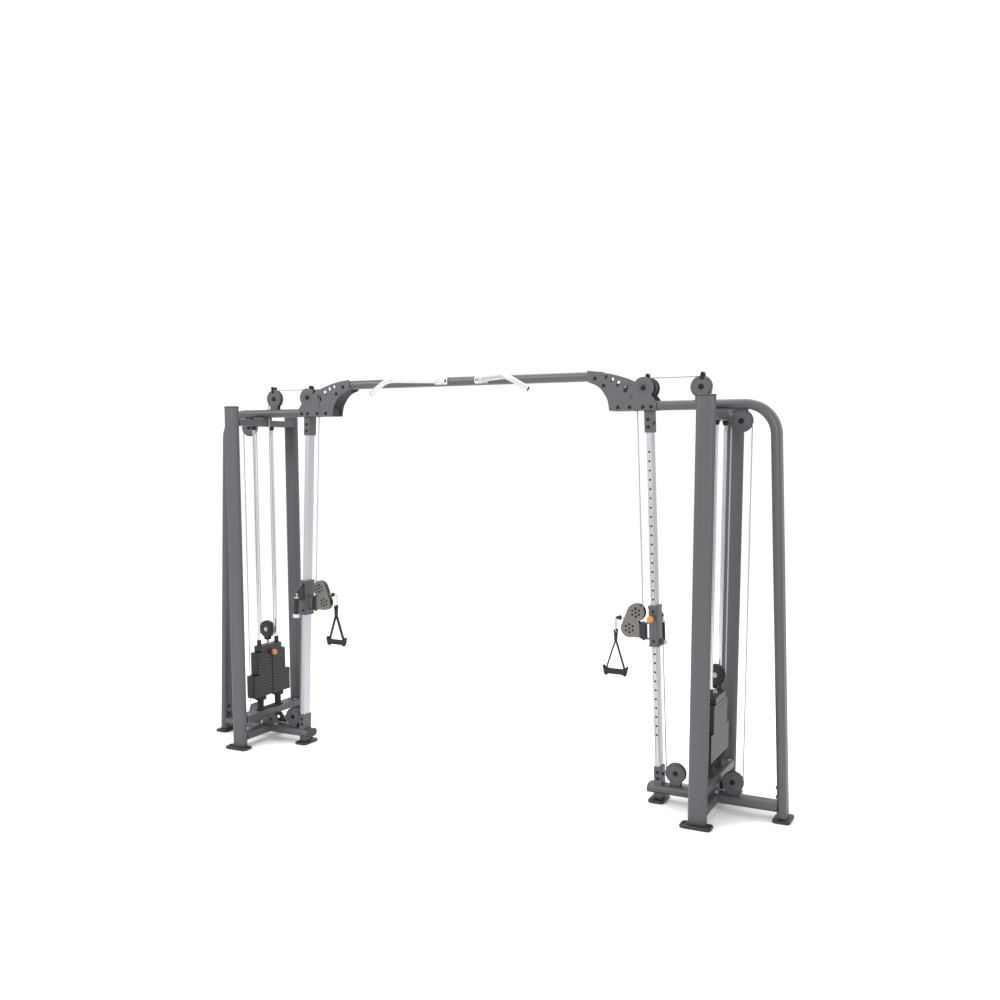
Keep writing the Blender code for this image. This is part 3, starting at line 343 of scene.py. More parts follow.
def pipe(route, radius, across=(0, 1, 0), edge=0.0005, sides=16):
    """A round bar along a route that bends in planes that hold or face the given direction."""
    route = np.array(route, float)
    way = unit(np.gradient(route, axis=0))
    side = unit(np.cross(way, np.cross(np.array(across, float), way)))
    return swept(circle(radius, sides), route, side, np.cross(way, side), edge)


def closed_pipe(route, radius, across, sides=14):
    """A round bar along a closed route, its two ends joined."""
    route = np.array(route, float)
    way = unit(np.roll(route, -1, 0) - np.roll(route, 1, 0))
    side = np.broadcast_to(np.array(across, float), route.shape)
    up = np.cross(way, side)
    ring = circle(radius, sides)
    points = route[:, None] + ring[None, :, :1] * side[:, None] + ring[None, :, 1:] * up[:, None]
    return Skin(points.reshape(-1, 3), [grid_quads(len(route), sides, ring=True)])


def block(x, y, z, edge=0.0015):
    """A box between three pairs of limits, its corners and rims rounded."""
    centre = ((x[0] + x[1]) / 2, (y[0] + y[1]) / 2)
    return prism(rounded(x[1] - x[0], y[1] - y[0], edge * 1.5, centre, 3), z[0], z[1], edge)


def bolt(at, plane="xz", way=1, size=0.008):
    """A washer and a chamfered six-sided head standing on a surface."""
    washer = drum(size * 1.45, 0.0, size * 0.22, plane, sides=24, edge=size * 0.06)
    head = prism(circle(size * 1.12, 6, start=0.3), size * 0.15, size * 0.95, size * 0.14, plane)
    axis = PLACES[plane][2]
    both = []
    for skin in (washer, head):
        points = skin.points.copy()
        points[:, axis] *= way
        both.append(Skin(points + np.array(at, float), skin.faces))
    return both


# ---------------------------------------------------------------- pieces on their bodies


def as_left(points, turned):
    """The left tower's points: the mirror image in x = 0, or the half turn about the Z axis."""
    return points * np.array([-1.0, -1.0 if turned else 1.0, 1.0])


def make_piece(name, skins, finish, body, replaces=(), blend=None, along=False):
    """One mesh object from a list of surfaces, riding on its body, or baked in place when it spans two."""
    points, faces, start = [], [], 0
    for skin in skins:
        points.append(skin.points)
        for rows in skin.faces:
            faces += (rows + start).tolist()
        start += len(skin.points)
    mesh = bpy.data.meshes.new(name)
    mesh.from_pydata(np.concatenate(points).tolist(), [], faces)
    mesh.materials.append(bpy.data.materials[finish])
    if along:
        way = mesh.attributes.new("along", "FLOAT", "POINT")
        way.data.foreach_set("value", np.concatenate([skin.along for skin in skins]).astype(np.float32))
    mesh.shade_smooth()
    mesh.set_sharp_from_angle(angle=math.radians(58))
    piece = bpy.data.objects.new(name, mesh)
    bpy.context.scene.collection.objects.link(piece)
    even = piece.modifiers.new("even_normals", "WEIGHTED_NORMAL")
    even.keep_sharp = True
    if blend:
        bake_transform(piece)
    else:
        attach(piece, body)
    if replaces:
        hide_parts(*replaces)
    return piece


def both_sides(name, skins, finish, body, replaces=(), turned=False, blend=None, along=False):
    """A right piece and its left twin. Bodies and nodes are given without their side."""
    for side in ("right", "left"):
        here = skins
        if side == "left":
            here = [Skin(as_left(skin.points, turned), skin.faces, skin.along) for skin in skins]
        ride = body if body == "frame" else f"{side}_{body}"
        spans = None
        if blend:
            ends = [point if side == "right" else as_left(np.array(point), turned) for point in blend[2:]]
            spans = [part if part == "frame" else f"{side}_{part}" for part in blend[:2]]
            spans += [tuple(point) for point in ends]
        nodes = [f"{side}_{node}" for node in replaces]
        make_piece(f"{side}_{name}", here, finish, ride, nodes, spans, along)


# ---------------------------------------------------------------- finishes


def add_node(tree, kind, **settings):
    """A node with its input defaults, or its own properties, set by name."""
    made = tree.nodes.new(kind)
    for key, value in settings.items():
        label = key.replace("_", " ")
        if label in made.inputs:
            made.inputs[label].default_value = value
        else:
            setattr(made, key, value)
    return made


def new_group(name, inputs, outputs):
    """An empty shader node group with named value, vector or colour sockets."""
    group = bpy.data.node_groups.new(name, "ShaderNodeTree")
    for label, kind, value in inputs:
        socket = group.interface.new_socket(name=label, in_out="INPUT", socket_type=kind)
        socket.default_value = value
    for label in outputs:
        group.interface.new_socket(name=label, in_out="OUTPUT", socket_type="NodeSocketFloat")
    return group, group.nodes.new("NodeGroupInput"), group.nodes.new("NodeGroupOutput")


def grain_group():
    """Noise stretched by a vector: Fine for the surface, Broad for slow changes of tone."""
    sockets = [
        ("Scale", "NodeSocketFloat", 600.0),
        ("Stretch", "NodeSocketVector", (1.0, 1.0, 1.0)),
        ("Broad Scale", "NodeSocketFloat", 5.0),
    ]
    group, entry, out = new_group("surface_grain", sockets, ["Fine", "Broad"])
    place = group.nodes.new("ShaderNodeTexCoord")
    stretch = add_node(group, "ShaderNodeVectorMath", operation="MULTIPLY")
    fine = add_node(group, "ShaderNodeTexNoise", Detail=3.0, Roughness=0.6)
    broad = add_node(group, "ShaderNodeTexNoise", Detail=4.0, Roughness=0.55)
    link = group.links.new
    link(place.outputs["Object"], stretch.inputs[0])
    link(entry.outputs["Stretch"], stretch.inputs[1])
    link(stretch.outputs[0], fine.inputs["Vector"])
    link(entry.outputs["Scale"], fine.inputs["Scale"])
    link(place.outputs["Object"], broad.inputs["Vector"])
    link(entry.outputs["Broad Scale"], broad.inputs["Scale"])
    link(fine.outputs["Fac"], out.inputs["Fine"])
    link(broad.outputs["Fac"], out.inputs["Broad"])
    return group


def wear_group():
    """Rubbed edges: where the surface turns sharply outwards, broken up by noise."""
    sockets = [("Amount", "NodeSocketFloat", 0.5), ("Scale", "NodeSocketFloat", 60.0)]
    group, entry, out = new_group("rubbed_edges", sockets, ["Mask"])
    shape = group.nodes.new("ShaderNodeNewGeometry")
    edge = add_node(group, "ShaderNodeMapRange", From_Min=0.52, From_Max=0.62)
    place = group.nodes.new("ShaderNodeTexCoord")
    noise = add_node(group, "ShaderNodeTexNoise", Detail=5.0, Roughness=0.65)
    patchy = add_node(group, "ShaderNodeMapRange", From_Min=0.42, From_Max=0.66)
    broken = add_node(group, "ShaderNodeMath", operation="MULTIPLY")
    scaled = add_node(group, "ShaderNodeMath", operation="MULTIPLY")
    link = group.links.new
    link(shape.outputs["Pointiness"], edge.inputs["Value"])
    link(place.outputs["Object"], noise.inputs["Vector"])
    link(entry.outputs["Scale"], noise.inputs["Scale"])
    link(noise.outputs["Fac"], patchy.inputs["Value"])
    link(edge.outputs["Result"], broken.inputs[0])
    link(patchy.outputs["Result"], broken.inputs[1])
    link(broken.outputs[0], scaled.inputs[0])
    link(entry.outputs["Amount"], scaled.inputs[1])
    link(scaled.outputs[0], out.inputs["Mask"])
    return group


def dust_group():
    """Dust settled on faces that look up, in soft patches."""
    sockets = [("Amount", "NodeSocketFloat", 0.2)]
    group, entry, out = new_group("settled_dust", sockets, ["Mask"])
    shape = group.nodes.new("ShaderNodeNewGeometry")
    parts = group.nodes.new("ShaderNodeSeparateXYZ")
    upward = add_node(group, "ShaderNodeMapRange", From_Min=0.5, From_Max=1.0)
    place = group.nodes.new("ShaderNodeTexCoord")
    noise = add_node(group, "ShaderNodeTexNoise", Scale=38.0, Detail=6.0, Roughness=0.7)
    patchy = add_node(group, "ShaderNodeMapRange", From_Min=0.35, From_Max=0.8)
    both = add_node(group, "ShaderNodeMath", operation="MULTIPLY")
    scaled = add_node(group, "ShaderNodeMath", operation="MULTIPLY")
    link = group.links.new
    link(shape.outputs["Normal"], parts.inputs[0])
    link(parts.outputs["Z"], upward.inputs["Value"])
    link(place.outputs["Object"], noise.inputs["Vector"])
    link(noise.outputs["Fac"], patchy.inputs["Value"])
    link(upward.outputs["Result"], both.inputs[0])
    link(patchy.outputs["Result"], both.inputs[1])
    link(both.outputs[0], scaled.inputs[0])
    link(entry.outputs["Amount"], scaled.inputs[1])
    link(scaled.outputs[0], out.inputs["Mask"])
    return group


def shade(colour, factor):
    """A colour with each part multiplied, as RGBA."""
    return (*[min(1.0, part * factor) for part in colour[:3]], 1.0)


def mix_colours(tree, factor, first, second):
    """A colour mix whose two sides are either constants or sockets."""
    made = add_node(tree, "ShaderNodeMix", data_type="RGBA")
    tree.links.new(factor, made.inputs["Factor"])
    for label, value in (("A", first), ("B", second)):
        socket = next(s for s in made.inputs if s.name == label and s.type == "RGBA")
        if isinstance(value, bpy.types.NodeSocket):
            tree.links.new(value, socket)
        else:
            socket.default_value = value
    return next(s for s in made.outputs if s.type == "RGBA")


# per finish: roughness low and high, metallic, grain scale, stretch, bump, tone spread, wear, dust
FINISHES = {
    "frame_coat": (0.36, 0.52, 0.30, 700, (1, 1, 1), 0.10, 0.16, 0.35, 0.10),
    "black_coat": (0.34, 0.52, 0.20, 700, (1, 1, 1), 0.10, 0.20, 0.40, 0.10),
    "column_steel": (0.26, 0.40, 0.85, 900, (1, 1, 0.012), 0.05, 0.10, 0.20, 0.0),
    "handle_steel": (0.20, 0.34, 1.00, 800, (1, 1, 0.2), 0.05, 0.12, 0.25, 0.0),
    "rod_chrome": (0.06, 0.16, 1.00, 500, (1, 1, 0.05), 0.02, 0.08, 0.0, 0.0),
    "bolt_zinc": (0.30, 0.48, 0.90, 500, (1, 1, 1), 0.10, 0.30, 0.30, 0.0),
    "bolt_black": (0.32, 0.50, 0.60, 500, (1, 1, 1), 0.10, 0.30, 0.60, 0.0),
    "pulley_nylon": (0.34, 0.50, 0.00, 420, (1, 1, 1), 0.08, 0.22, 0.35, 0.08),
    "housing_grey": (0.30, 0.44, 0.45, 900, (1, 1, 1), 0.12, 0.14, 0.45, 0.05),
    "rubber_black": (0.60, 0.80, 0.00, 650, (1, 1, 1), 0.25, 0.30, 0.20, 0.12),
    "cap_black": (0.38, 0.55, 0.00, 800, (1, 1, 1), 0.15, 0.25, 0.25, 0.10),
    "knob_orange": (0.24, 0.36, 0.00, 350, (1, 1, 1), 0.04, 0.14, 0.15, 0.0),
}


def surface_finish(name, colour, groups):
    """A finish from its row: toned and rubbed colour, uneven roughness and a fine bump."""
    low, high, metallic, scale, stretch, bump, spread, wear, dust = FINISHES[name]
    made = bpy.data.materials.new(name)
    made.use_nodes = True
    tree = made.node_tree
    shader = tree.nodes["Principled BSDF"]
    shader.inputs["Metallic"].default_value = metallic
    grain = add_node(tree, "ShaderNodeGroup", node_tree=groups["grain"])
    grain.inputs["Scale"].default_value = scale
    grain.inputs["Stretch"].default_value = stretch
    toned = mix_colours(tree, grain.outputs["Broad"], shade(colour, 1 - spread), shade(colour, 1 + spread))
    rubbed = add_node(tree, "ShaderNodeGroup", node_tree=groups["wear"])
    rubbed.inputs["Amount"].default_value = wear
    bare = tuple(0.8 * part + 0.06 for part in colour[:3]) + (1.0,)
    toned = mix_colours(tree, rubbed.outputs["Mask"], toned, bare)
    settled = add_node(tree, "ShaderNodeGroup", node_tree=groups["dust"])
    settled.inputs["Amount"].default_value = dust
    toned = mix_colours(tree, settled.outputs["Mask"], toned, (0.12, 0.115, 0.11, 1.0))
    tree.links.new(toned, shader.inputs["Base Color"])
    uneven = add_node(tree, "ShaderNodeMapRange", From_Min=0.3, From_Max=0.7, To_Min=low, To_Max=high)
    tree.links.new(grain.outputs["Fine"], uneven.inputs["Value"])
    tree.links.new(uneven.outputs["Result"], shader.inputs["Roughness"])
    relief = add_node(tree, "ShaderNodeBump", Strength=bump, Distance=0.0006)
    tree.links.new(grain.outputs["Fine"], relief.inputs["Height"])
    tree.links.new(relief.outputs["Normal"], shader.inputs["Normal"])
    return made


def striped_finish(name, colour, pitch, roughness, depth, spread, across_pitch=0.0):
    """A finish with bands along a piece's own length, woven with bands across where it is cloth."""
    made = bpy.data.materials.new(name)
    made.use_nodes = True
    tree = made.node_tree
    link = tree.links.new
    shader = tree.nodes["Principled BSDF"]
    shader.inputs["Roughness"].default_value = roughness
    way = add_node(tree, "ShaderNodeAttribute", attribute_name="along")
    place = tree.nodes.new("ShaderNodeTexCoord")
    parts = tree.nodes.new("ShaderNodeSeparateXYZ")
    link(place.outputs["Object"], parts.inputs[0])
    turns = add_node(tree, "ShaderNodeMath", operation="MULTIPLY")
    turns.inputs[1].default_value = 2 * math.pi / pitch
    link(way.outputs["Fac"], turns.inputs[0])
    wave = add_node(tree, "ShaderNodeMath", operation="SINE")
    link(turns.outputs[0], wave.inputs[0])
    height = wave.outputs[0]
    if across_pitch:
        crossing = add_node(tree, "ShaderNodeMath", operation="MULTIPLY")
        crossing.inputs[1].default_value = 2 * math.pi / across_pitch
        link(parts.outputs["Y"], crossing.inputs[0])
        other = add_node(tree, "ShaderNodeMath", operation="SINE")
        link(crossing.outputs[0], other.inputs[0])
        woven = add_node(tree, "ShaderNodeMath", operation="MULTIPLY")
        link(wave.outputs[0], woven.inputs[0])
        link(other.outputs[0], woven.inputs[1])
        height = woven.outputs[0]
    share = add_node(tree, "ShaderNodeMapRange", From_Min=-1.0, From_Max=1.0)
    link(height, share.inputs["Value"])
    noise = add_node(tree, "ShaderNodeTexNoise", Scale=90.0, Detail=4.0)
    link(place.outputs["Object"], noise.inputs["Vector"])
    blend = add_node(tree, "ShaderNodeMath", operation="MULTIPLY_ADD")
    blend.inputs[1].default_value = 0.6
    link(share.outputs["Result"], blend.inputs[0])
    fleck = add_node(tree, "ShaderNodeMath", operation="MULTIPLY")
    fleck.inputs[1].default_value = 0.4
    link(noise.outputs["Fac"], fleck.inputs[0])
    link(fleck.outputs[0], blend.inputs[2])
    toned = mix_colours(tree, blend.outputs[0], shade(colour, 1 - spread), shade(colour, 1 + spread))
    link(toned, shader.inputs["Base Color"])
    relief = add_node(tree, "ShaderNodeBump", Strength=depth, Distance=0.0008)
    link(share.outputs["Result"], relief.inputs["Height"])
    link(relief.outputs["Normal"], shader.inputs["Normal"])
    return made


def floor_finish():
    """Pale painted studio floor with faint mottling."""
    made = bpy.data.materials.new("studio_floor")
    made.use_nodes = True
    tree = made.node_tree
    shader = tree.nodes["Principled BSDF"]
    place = tree.nodes.new("ShaderNodeTexCoord")
    noise = add_node(tree, "ShaderNodeTexNoise", Scale=1.4, Detail=5.0)
    tree.links.new(place.outputs["Object"], noise.inputs["Vector"])
    tone = mix_colours(tree, noise.outputs["Fac"], (0.90, 0.90, 0.905, 1), (0.93, 0.93, 0.93, 1))
    tree.links.new(tone, shader.inputs["Base Color"])
    shader.inputs["Roughness"].default_value = 0.6
    return made


# ---------------------------------------------------------------- frame tubes


def foot_pad(centre, width, depth):
    """A moulded foot cover with soft rims, and a bolt in each end of its long way."""
    height = chosen("foot_height")
    cover = prism(rounded(width, depth, 0.022, centre, 8), 0.0, height, 0.0055)
    long_x, long_y = (width / 2 - 0.016, 0) if width > depth else (0, depth / 2 - 0.016)
    bolts = []
    for end in (-1, 1):
        bolts += bolt((centre[0] + end * long_x, centre[1] + end * long_y, height), "xy", 1, 0.006)
    return cover, bolts


def build_uprights():
    """Four vertical flat-oval posts, each with a moulded cap and a foot."""
    top = UPRIGHT_HIGH[2]
    for name, side in (("front", -1), ("rear", 1)):
        y = side * UPRIGHT_Y
        tube = prism(flat_oval() + (TOWER_X, y), 0.006, top - 0.004, 0.0015)
        both_sides(f"{name}_post", [tube], "frame_coat", "frame", [f"{name}_upright"])
        cap = [prism(flat_oval(0.0012) + (TOWER_X, y), top - 0.009, top, 0.0035)]
        both_sides(f"{name}_post_cap", cap, "cap_black", "frame")
        cover, bolts = foot_pad((TOWER_X, y + side * 0.0185), 0.166, 0.087)
        both_sides(f"{name}_post_foot", [cover], "cap_black", "frame")
        both_sides(f"{name}_post_foot_bolts", bolts, "bolt_black", "frame")


def beam_route():
    """The top tube's middle line: along the beam, round the bend and down the leaning leg."""
    sweep = 90 - math.degrees(LEAN)
    bend_z = BEAM_Z - BEND_RADIUS
    end_z = bend_z + BEND_RADIUS * math.sin(LEAN)
    end_x = LEG_FOOT_X - end_z * math.tan(LEAN)
    bend_x = end_x - BEND_RADIUS * math.cos(LEAN)
    turn = arc((bend_x, bend_z), BEND_RADIUS, 90, 90 - sweep, 28)
    start = np.array([[BEAM_START_X + 0.001, BEAM_Z]])
    foot = np.array([[LEG_FOOT_X - 0.006 * math.tan(LEAN), 0.006]])
    flat = np.concatenate([start, turn, foot])
    return np.stack([flat[:, 0], np.zeros(len(flat)), flat[:, 1]], -1)


def build_bent_tube():
    """The top beam, its bend and the leaning outer leg in one tube, with its cap, foot and bolts."""
    route = beam_route()
    way = unit(np.gradient(route, axis=0))
    way[0] = way[1] = (1, 0, 0)
    way[-1] = way[-2] = unit(route[-1] - route[-2])
    up = np.cross(Y_AXIS, way) * -1
    tube = swept(flat_oval(), route, Y_AXIS, up, 0.0015)
    bumps = []
    for z in (0.125, 0.175):
        x = LEG_FOOT_X - z * math.tan(LEAN) - TUBE_THIN / 2
        bumps += bolt((x, -0.012, z), "yz", -1, 0.008)
    both_sides("top_tube", [tube], "frame_coat", "frame", ["bent_tube"])
    both_sides("leg_bolts", bumps, "bolt_black", "frame")
    cap = prism(flat_oval(0.0008) + (0, BEAM_Z), BEAM_START_X - 0.001, BEAM_START_X + 0.006, 0.002, "yz")
    grommets = []
    for x in (TOP_INNER[0] - PITCH, TOP_OUTER[0] + PITCH):
        for z, way_out in ((BEAM_LOW, -1), (BEAM_HIGH, 1)):
            ring = [(0.006, 0), (0.0125, 0), (0.0125, 0.0015), (0.009, 0.003), (0.006, 0.003)]
            ring = [(radius, along * way_out) for radius, along in ring]
            grommets.append(lathed(ring, "xy", (x, 0, z), 28, ring=True))
    both_sides("top_tube_cap", [cap, *grommets], "cap_black", "frame")
    cover, bolts = foot_pad((LEG_FOOT_X, 0), 0.094, 0.144)
    both_sides("leg_foot", [cover], "cap_black", "frame")
    both_sides("leg_foot_bolts", bolts, "bolt_black", "frame")


def column_sleeve(low, high, wall=0.006, edge=0.001):
    """A square sleeve round the column between two heights up it, drawn in the carriage's frame."""
    bore = (COLUMN_THIN + 0.0024, COLUMN_DEEP + 0.0024)
    outer = rounded(bore[0] + 2 * wall, bore[1] + 2 * wall, 0.005)
    inner = rounded(*bore, 0.003)[::-1]
    return on_carriage(prism([outer, inner], low - PIN_UP_COLUMN, high - PIN_UP_COLUMN, edge))


def build_column_brackets():
    """The column's top bracket and foot socket, bolted through."""
    top = column_sleeve(COLUMN_LENGTH - 0.114, COLUMN_LENGTH + 0.012)
    bottom = column_sleeve(-0.006, 0.100)
    both_sides("column_sockets", [top, bottom], "frame_coat", "frame")
    bolts = []
    for along in (COLUMN_LENGTH - 0.085, COLUMN_LENGTH - 0.045, 0.035, 0.070):
        for side in (-1, 1):
            bolts += bolt(up_column(along) + (0, side * 0.0372, 0), "xz", side, 0.0065)
    for along in (COLUMN_LENGTH - 0.065, 0.055):
        at = up_column(along) + 0.0222 * OUT_COLUMN
        bolts += bolt(at, "yz", 1, 0.0065)
    both_sides("column_bolts", bolts, "bolt_black", "frame")


# ---------------------------------------------------------------- wheels and their cheeks


def wheel(rim, pitch, width, spokes):
    """A grooved nylon wheel: rim, dished web and hub, with round lightening holes marked by rings."""
    half = width / 2
    groove = pitch - chosen("cable_diameter") / 2 - 0.0008
    dish = half * 0.45
    face = [
        (0.0066, -half),
        (0.016, -half),
        (0.017, -half + 0.001),
        (0.018, -dish),
        (rim - 0.0125, -dish),
        (rim - 0.0115, -half + 0.001),
        (rim - 0.0105, -half),
        (rim - 0.0012, -half),
        (rim, -half + 0.0012),
        (rim, -half + 0.0025),
    ]
    bottom = arc((groove + 0.0042, 0), 0.0042, 235, 125, 8)
    profile = face + [tuple(point) for point in bottom] + [(r, -a) for r, a in reversed(face)]
    skins = [lathed(profile, "xz", sides=72, ring=True)]
    middle = (0.018 + rim - 0.0125) / 2
    for angle in np.arange(spokes) * 2 * np.pi / spokes:
        at = (middle * math.cos(angle), 0, middle * math.sin(angle))
        boss = [(0.0035, -half * 0.8), (0.0058, -half * 0.8), (0.0058, half * 0.8), (0.0035, half * 0.8)]
        skins.append(lathed(boss, "xz", at, 16, ring=True))
    return skins


def build_wheels():
    """The eight wheels of each tower."""
    for name in ("top_inner", "top_outer", "hanging", "base_outer", "base_inner", "stack"):
        skins = [skin.moved(axle_of(name)) for skin in wheel(WHEEL_RIM, PITCH, WHEEL_WIDTH, 6)]
        spin = f"wheel_{name}"
        both_sides(spin, skins, "pulley_nylon", spin, [f"pulley_{name}"])
    for name in ("upper", "lower"):
        small = wheel(SMALL_RIM, SMALL_PITCH, SMALL_WIDTH, 6)
        lay = [skin.moved(axle_of(name), OUT_COLUMN, Y_AXIS, UP_COLUMN) for skin in small]
        spin = f"wheel_{name}"
        both_sides(spin, lay, "pulley_nylon", spin, [f"pulley_{name}"], turned=True)


def cheek_plates(x, z, root_z, root_wide, radius=0.0555):
    """A wheel's two side plates: a full disc with a raised ring, on a narrow foot."""
    up = math.copysign(1, z - root_z)
    half = root_wide / 2
    spread = math.degrees(math.asin(half / radius))
    start = -90 * up + spread
    disc = arc((x, z), radius, start, start + 360 - 2 * spread, 48)
    foot = [(x - up * half, root_z), (x + up * half, root_z)]
    outline = np.concatenate([disc, foot])
    rings = [circle(radius * 0.88, 40, (x, z)), circle(radius * 0.81, 40, (x, z))[::-1]]
    plates = []
    for side in (-1, 1):
        plates.append(prism(outline, *sorted((side * CHEEK_NEAR, side * CHEEK_FAR)), 0.0009, "xz"))
        plates.append(prism(rings, *sorted((side * 0.0148, side * 0.0164)), 0.0005, "xz"))
    return plates


def axle_bolts(x, z, reach=CHEEK_FAR):
    """A bolt head and a nut on the ends of a wheel's axle."""
    pin = drum(0.006, -reach - 0.004, reach + 0.004, "xz", (x, 0, z), 0.0006, 20)
    return [*bolt((x, -reach, z), "xz", -1, 0.010), *bolt((x, reach, z), "xz", 1, 0.010), pin]


def retainer(x, z, angle, start, gap):
    """The roller that keeps a cable in its groove, between two arms that reach out past the rim."""
    turn = math.radians(angle)
    along, reach = np.array([math.cos(turn), math.sin(turn)]), 0.0690
    spot = np.array([x, z]) + reach * along
    roller = drum(0.0085, -gap - 0.003, gap + 0.003, "xz", (spot[0], 0, spot[1]), 0.001, 24)
    arm = rounded(reach + 0.009 - start, 0.018, 0.0088, ((reach + 0.009 + start) / 2, 0))
    arm = arm @ np.array([along, [-along[1], along[0]]]) + (x, z)
    arms = [prism(arm, *sorted((side * gap, side * (gap + 0.0035))), 0.0008, "xz") for side in (-1, 1)]
    heads = [*bolt((spot[0], -gap - 0.0035, spot[1]), "xz", -1, 0.0055)]
    heads += bolt((spot[0], gap + 0.0035, spot[1]), "xz", 1, 0.0055)
    return [roller, *arms, *heads]


def build_cheeks():
    """The side plates of the fixed wheels, with their axles and cable retainers."""
    plates = []
    plates += cheek_plates(HANGING[0], HANGING[2], BEAM_LOW + 0.006, 0.056)
    plates += cheek_plates(TOP_OUTER[0], TOP_OUTER[2], BEAM_HIGH - 0.004, 0.060)
    plates += cheek_plates(BASE_INNER[0], BASE_INNER[2], BASE_TOP - 0.004, 0.062)
    plates += cheek_plates(BASE_OUTER[0], BASE_OUTER[2], BASE_TOP - 0.004, 0.066)
    both_sides("wheel_cheeks", plates, "frame_coat", "frame")
    bolts = []
    for centre in (HANGING, TOP_OUTER, BASE_INNER, BASE_OUTER):
        bolts += axle_bolts(centre[0], centre[2])
    bolts += axle_bolts(TOP_INNER[0], TOP_INNER[2], GUSSET_FAR)
    both_sides("wheel_axles", bolts, "bolt_black", "frame")
    guards = retainer(TOP_OUTER[0], TOP_OUTER[2], 84, 0.036, 0.0160)
    guards += retainer(TOP_INNER[0], TOP_INNER[2], 84, -0.009, 0.0115)
    both_sides("cable_retainers", guards, "bolt_black", "frame")


# ---------------------------------------------------------------- gussets, crossbar, pull-up bars

GUSSET_TOP_EDGE = [(0.12, 0.634), (0.227, 0.701), (0.405, 0.814), (0.586, 0.896), (0.766, 0.955), (1.0, 1.0)]
GUSSET_LOW_EDGE = [(1.01, 0.85), (0.981, 0.719), (0.854, 0.643), (0.763, 0.552)]
GUSSET_LOW_EDGE += [(0.707, 0.452), (0.632, 0.271), (0.595, 0.0)]
SLOTS = [(0.302, 0.520, 0.040), (0.439, 0.656, 0.034), (0.548, 0.751, 0.029), (0.657, 0.819, 0.024)]
GUSSET_BOSS = (1.032, 0, 2.223)


def smooth_line(points, steps):
    """A line through points, curved by the Catmull-Rom formula on whole arrays."""
    points = np.array(points, float)
    padded = np.concatenate([2 * points[:1] - points[1:2], points, 2 * points[-1:] - points[-2:-1]])
    t = np.linspace(0, 1, steps, endpoint=False)[None, :, None]
    a, b, c, d = (padded[i : len(padded) - 3 + i, None] for i in range(4))
    line = 0.5 * (2 * b + (c - a) * t + (2 * a - 5 * b + 4 * c - d) * t**2 + (3 * b - a - 3 * c + d) * t**3)
    return np.concatenate([line.reshape(-1, points.shape[1]), points[-1:]])


def on_gusset(shares):
    """Points in X and Z at shares of the gusset's reach and height."""
    shares = np.array(shares, float)
    height = corners_of("right_front_gusset")[1][2] - BEAM_LOW
    reach = TOP_INNER[0] - corners_of("right_front_gusset")[0][0]
    scale = reach / 1.01
    return np.stack([TOP_INNER[0] - shares[:, 0] * scale, BEAM_LOW + shares[:, 1] * height], -1)


def build_gussets():
    """The two swept plates at each end of the crossbar, slotted and bolted to the beam."""
    x, z = TOP_INNER[0], TOP_INNER[2]
    head = arc((x, z), WHEEL_RIM, -40, 142, 40)
    upper = smooth_line(on_gusset(GUSSET_TOP_EDGE), 6)
    lower = smooth_line(on_gusset(GUSSET_LOW_EDGE), 6)
    heel = np.array([(x + 0.068, BEAM_LOW), (x + 0.072, BEAM_LOW + 0.004), (x + 0.074, BEAM_HIGH - 0.007)])
    outline = np.concatenate([heel, head, upper, lower])
    slots = []
    for across, rise, size in SLOTS:
        slot = rounded(size * 0.55, size, size * 0.26)
        turn = math.radians(-28)
        slot = slot @ np.array([[math.cos(turn), math.sin(turn)], [-math.sin(turn), math.cos(turn)]])
        slots.append((slot + on_gusset([(across, rise)])[0])[::-1])
    for name, side in (("front", -1), ("rear", 1)):
        low, high = sorted((side * GUSSET_NEAR, side * GUSSET_FAR))
        plate = prism([outline, *slots], low, high, 0.0012, "xz")
        low, high = sorted((side * 0.0555, side * 0.0580))
        collar = prism([circle(0.031, 40, (x, z)), circle(0.026, 40, (x, z))[::-1]], low, high, 0.0006, "xz")
        boss = drum(0.015, *sorted((side * 0.056, side * 0.060)), "xz", GUSSET_BOSS, 0.001)
        skins = [plate, collar, boss]
        both_sides(f"{name}_gusset_plate", skins, "frame_coat", "frame", [f"{name}_gusset"])
        bolts = []
        for shift in (-0.142, -0.075, 0.0, 0.045):
            bolts += bolt((x + shift, side * GUSSET_FAR, BEAM_LOW + 0.018), "xz", side, 0.007)
        for across, rise in ((0.70, 0.62), (0.86, 0.80)):
            at = on_gusset([(across, rise)])[0]
            bolts += bolt((at[0], side * GUSSET_FAR, at[1]), "xz", side, 0.007)
        both_sides(f"{name}_gusset_bolts", bolts, "bolt_black", "frame")


def build_crossbar():
    """The flat-oval tube between the towers."""
    bar = prism(flat_oval() + (0, CROSSBAR_Z), -CROSSBAR_END, CROSSBAR_END, 0.0015, "yz")
    make_piece("crossbar_tube", [bar], "frame_coat", "frame", ["crossbar"])


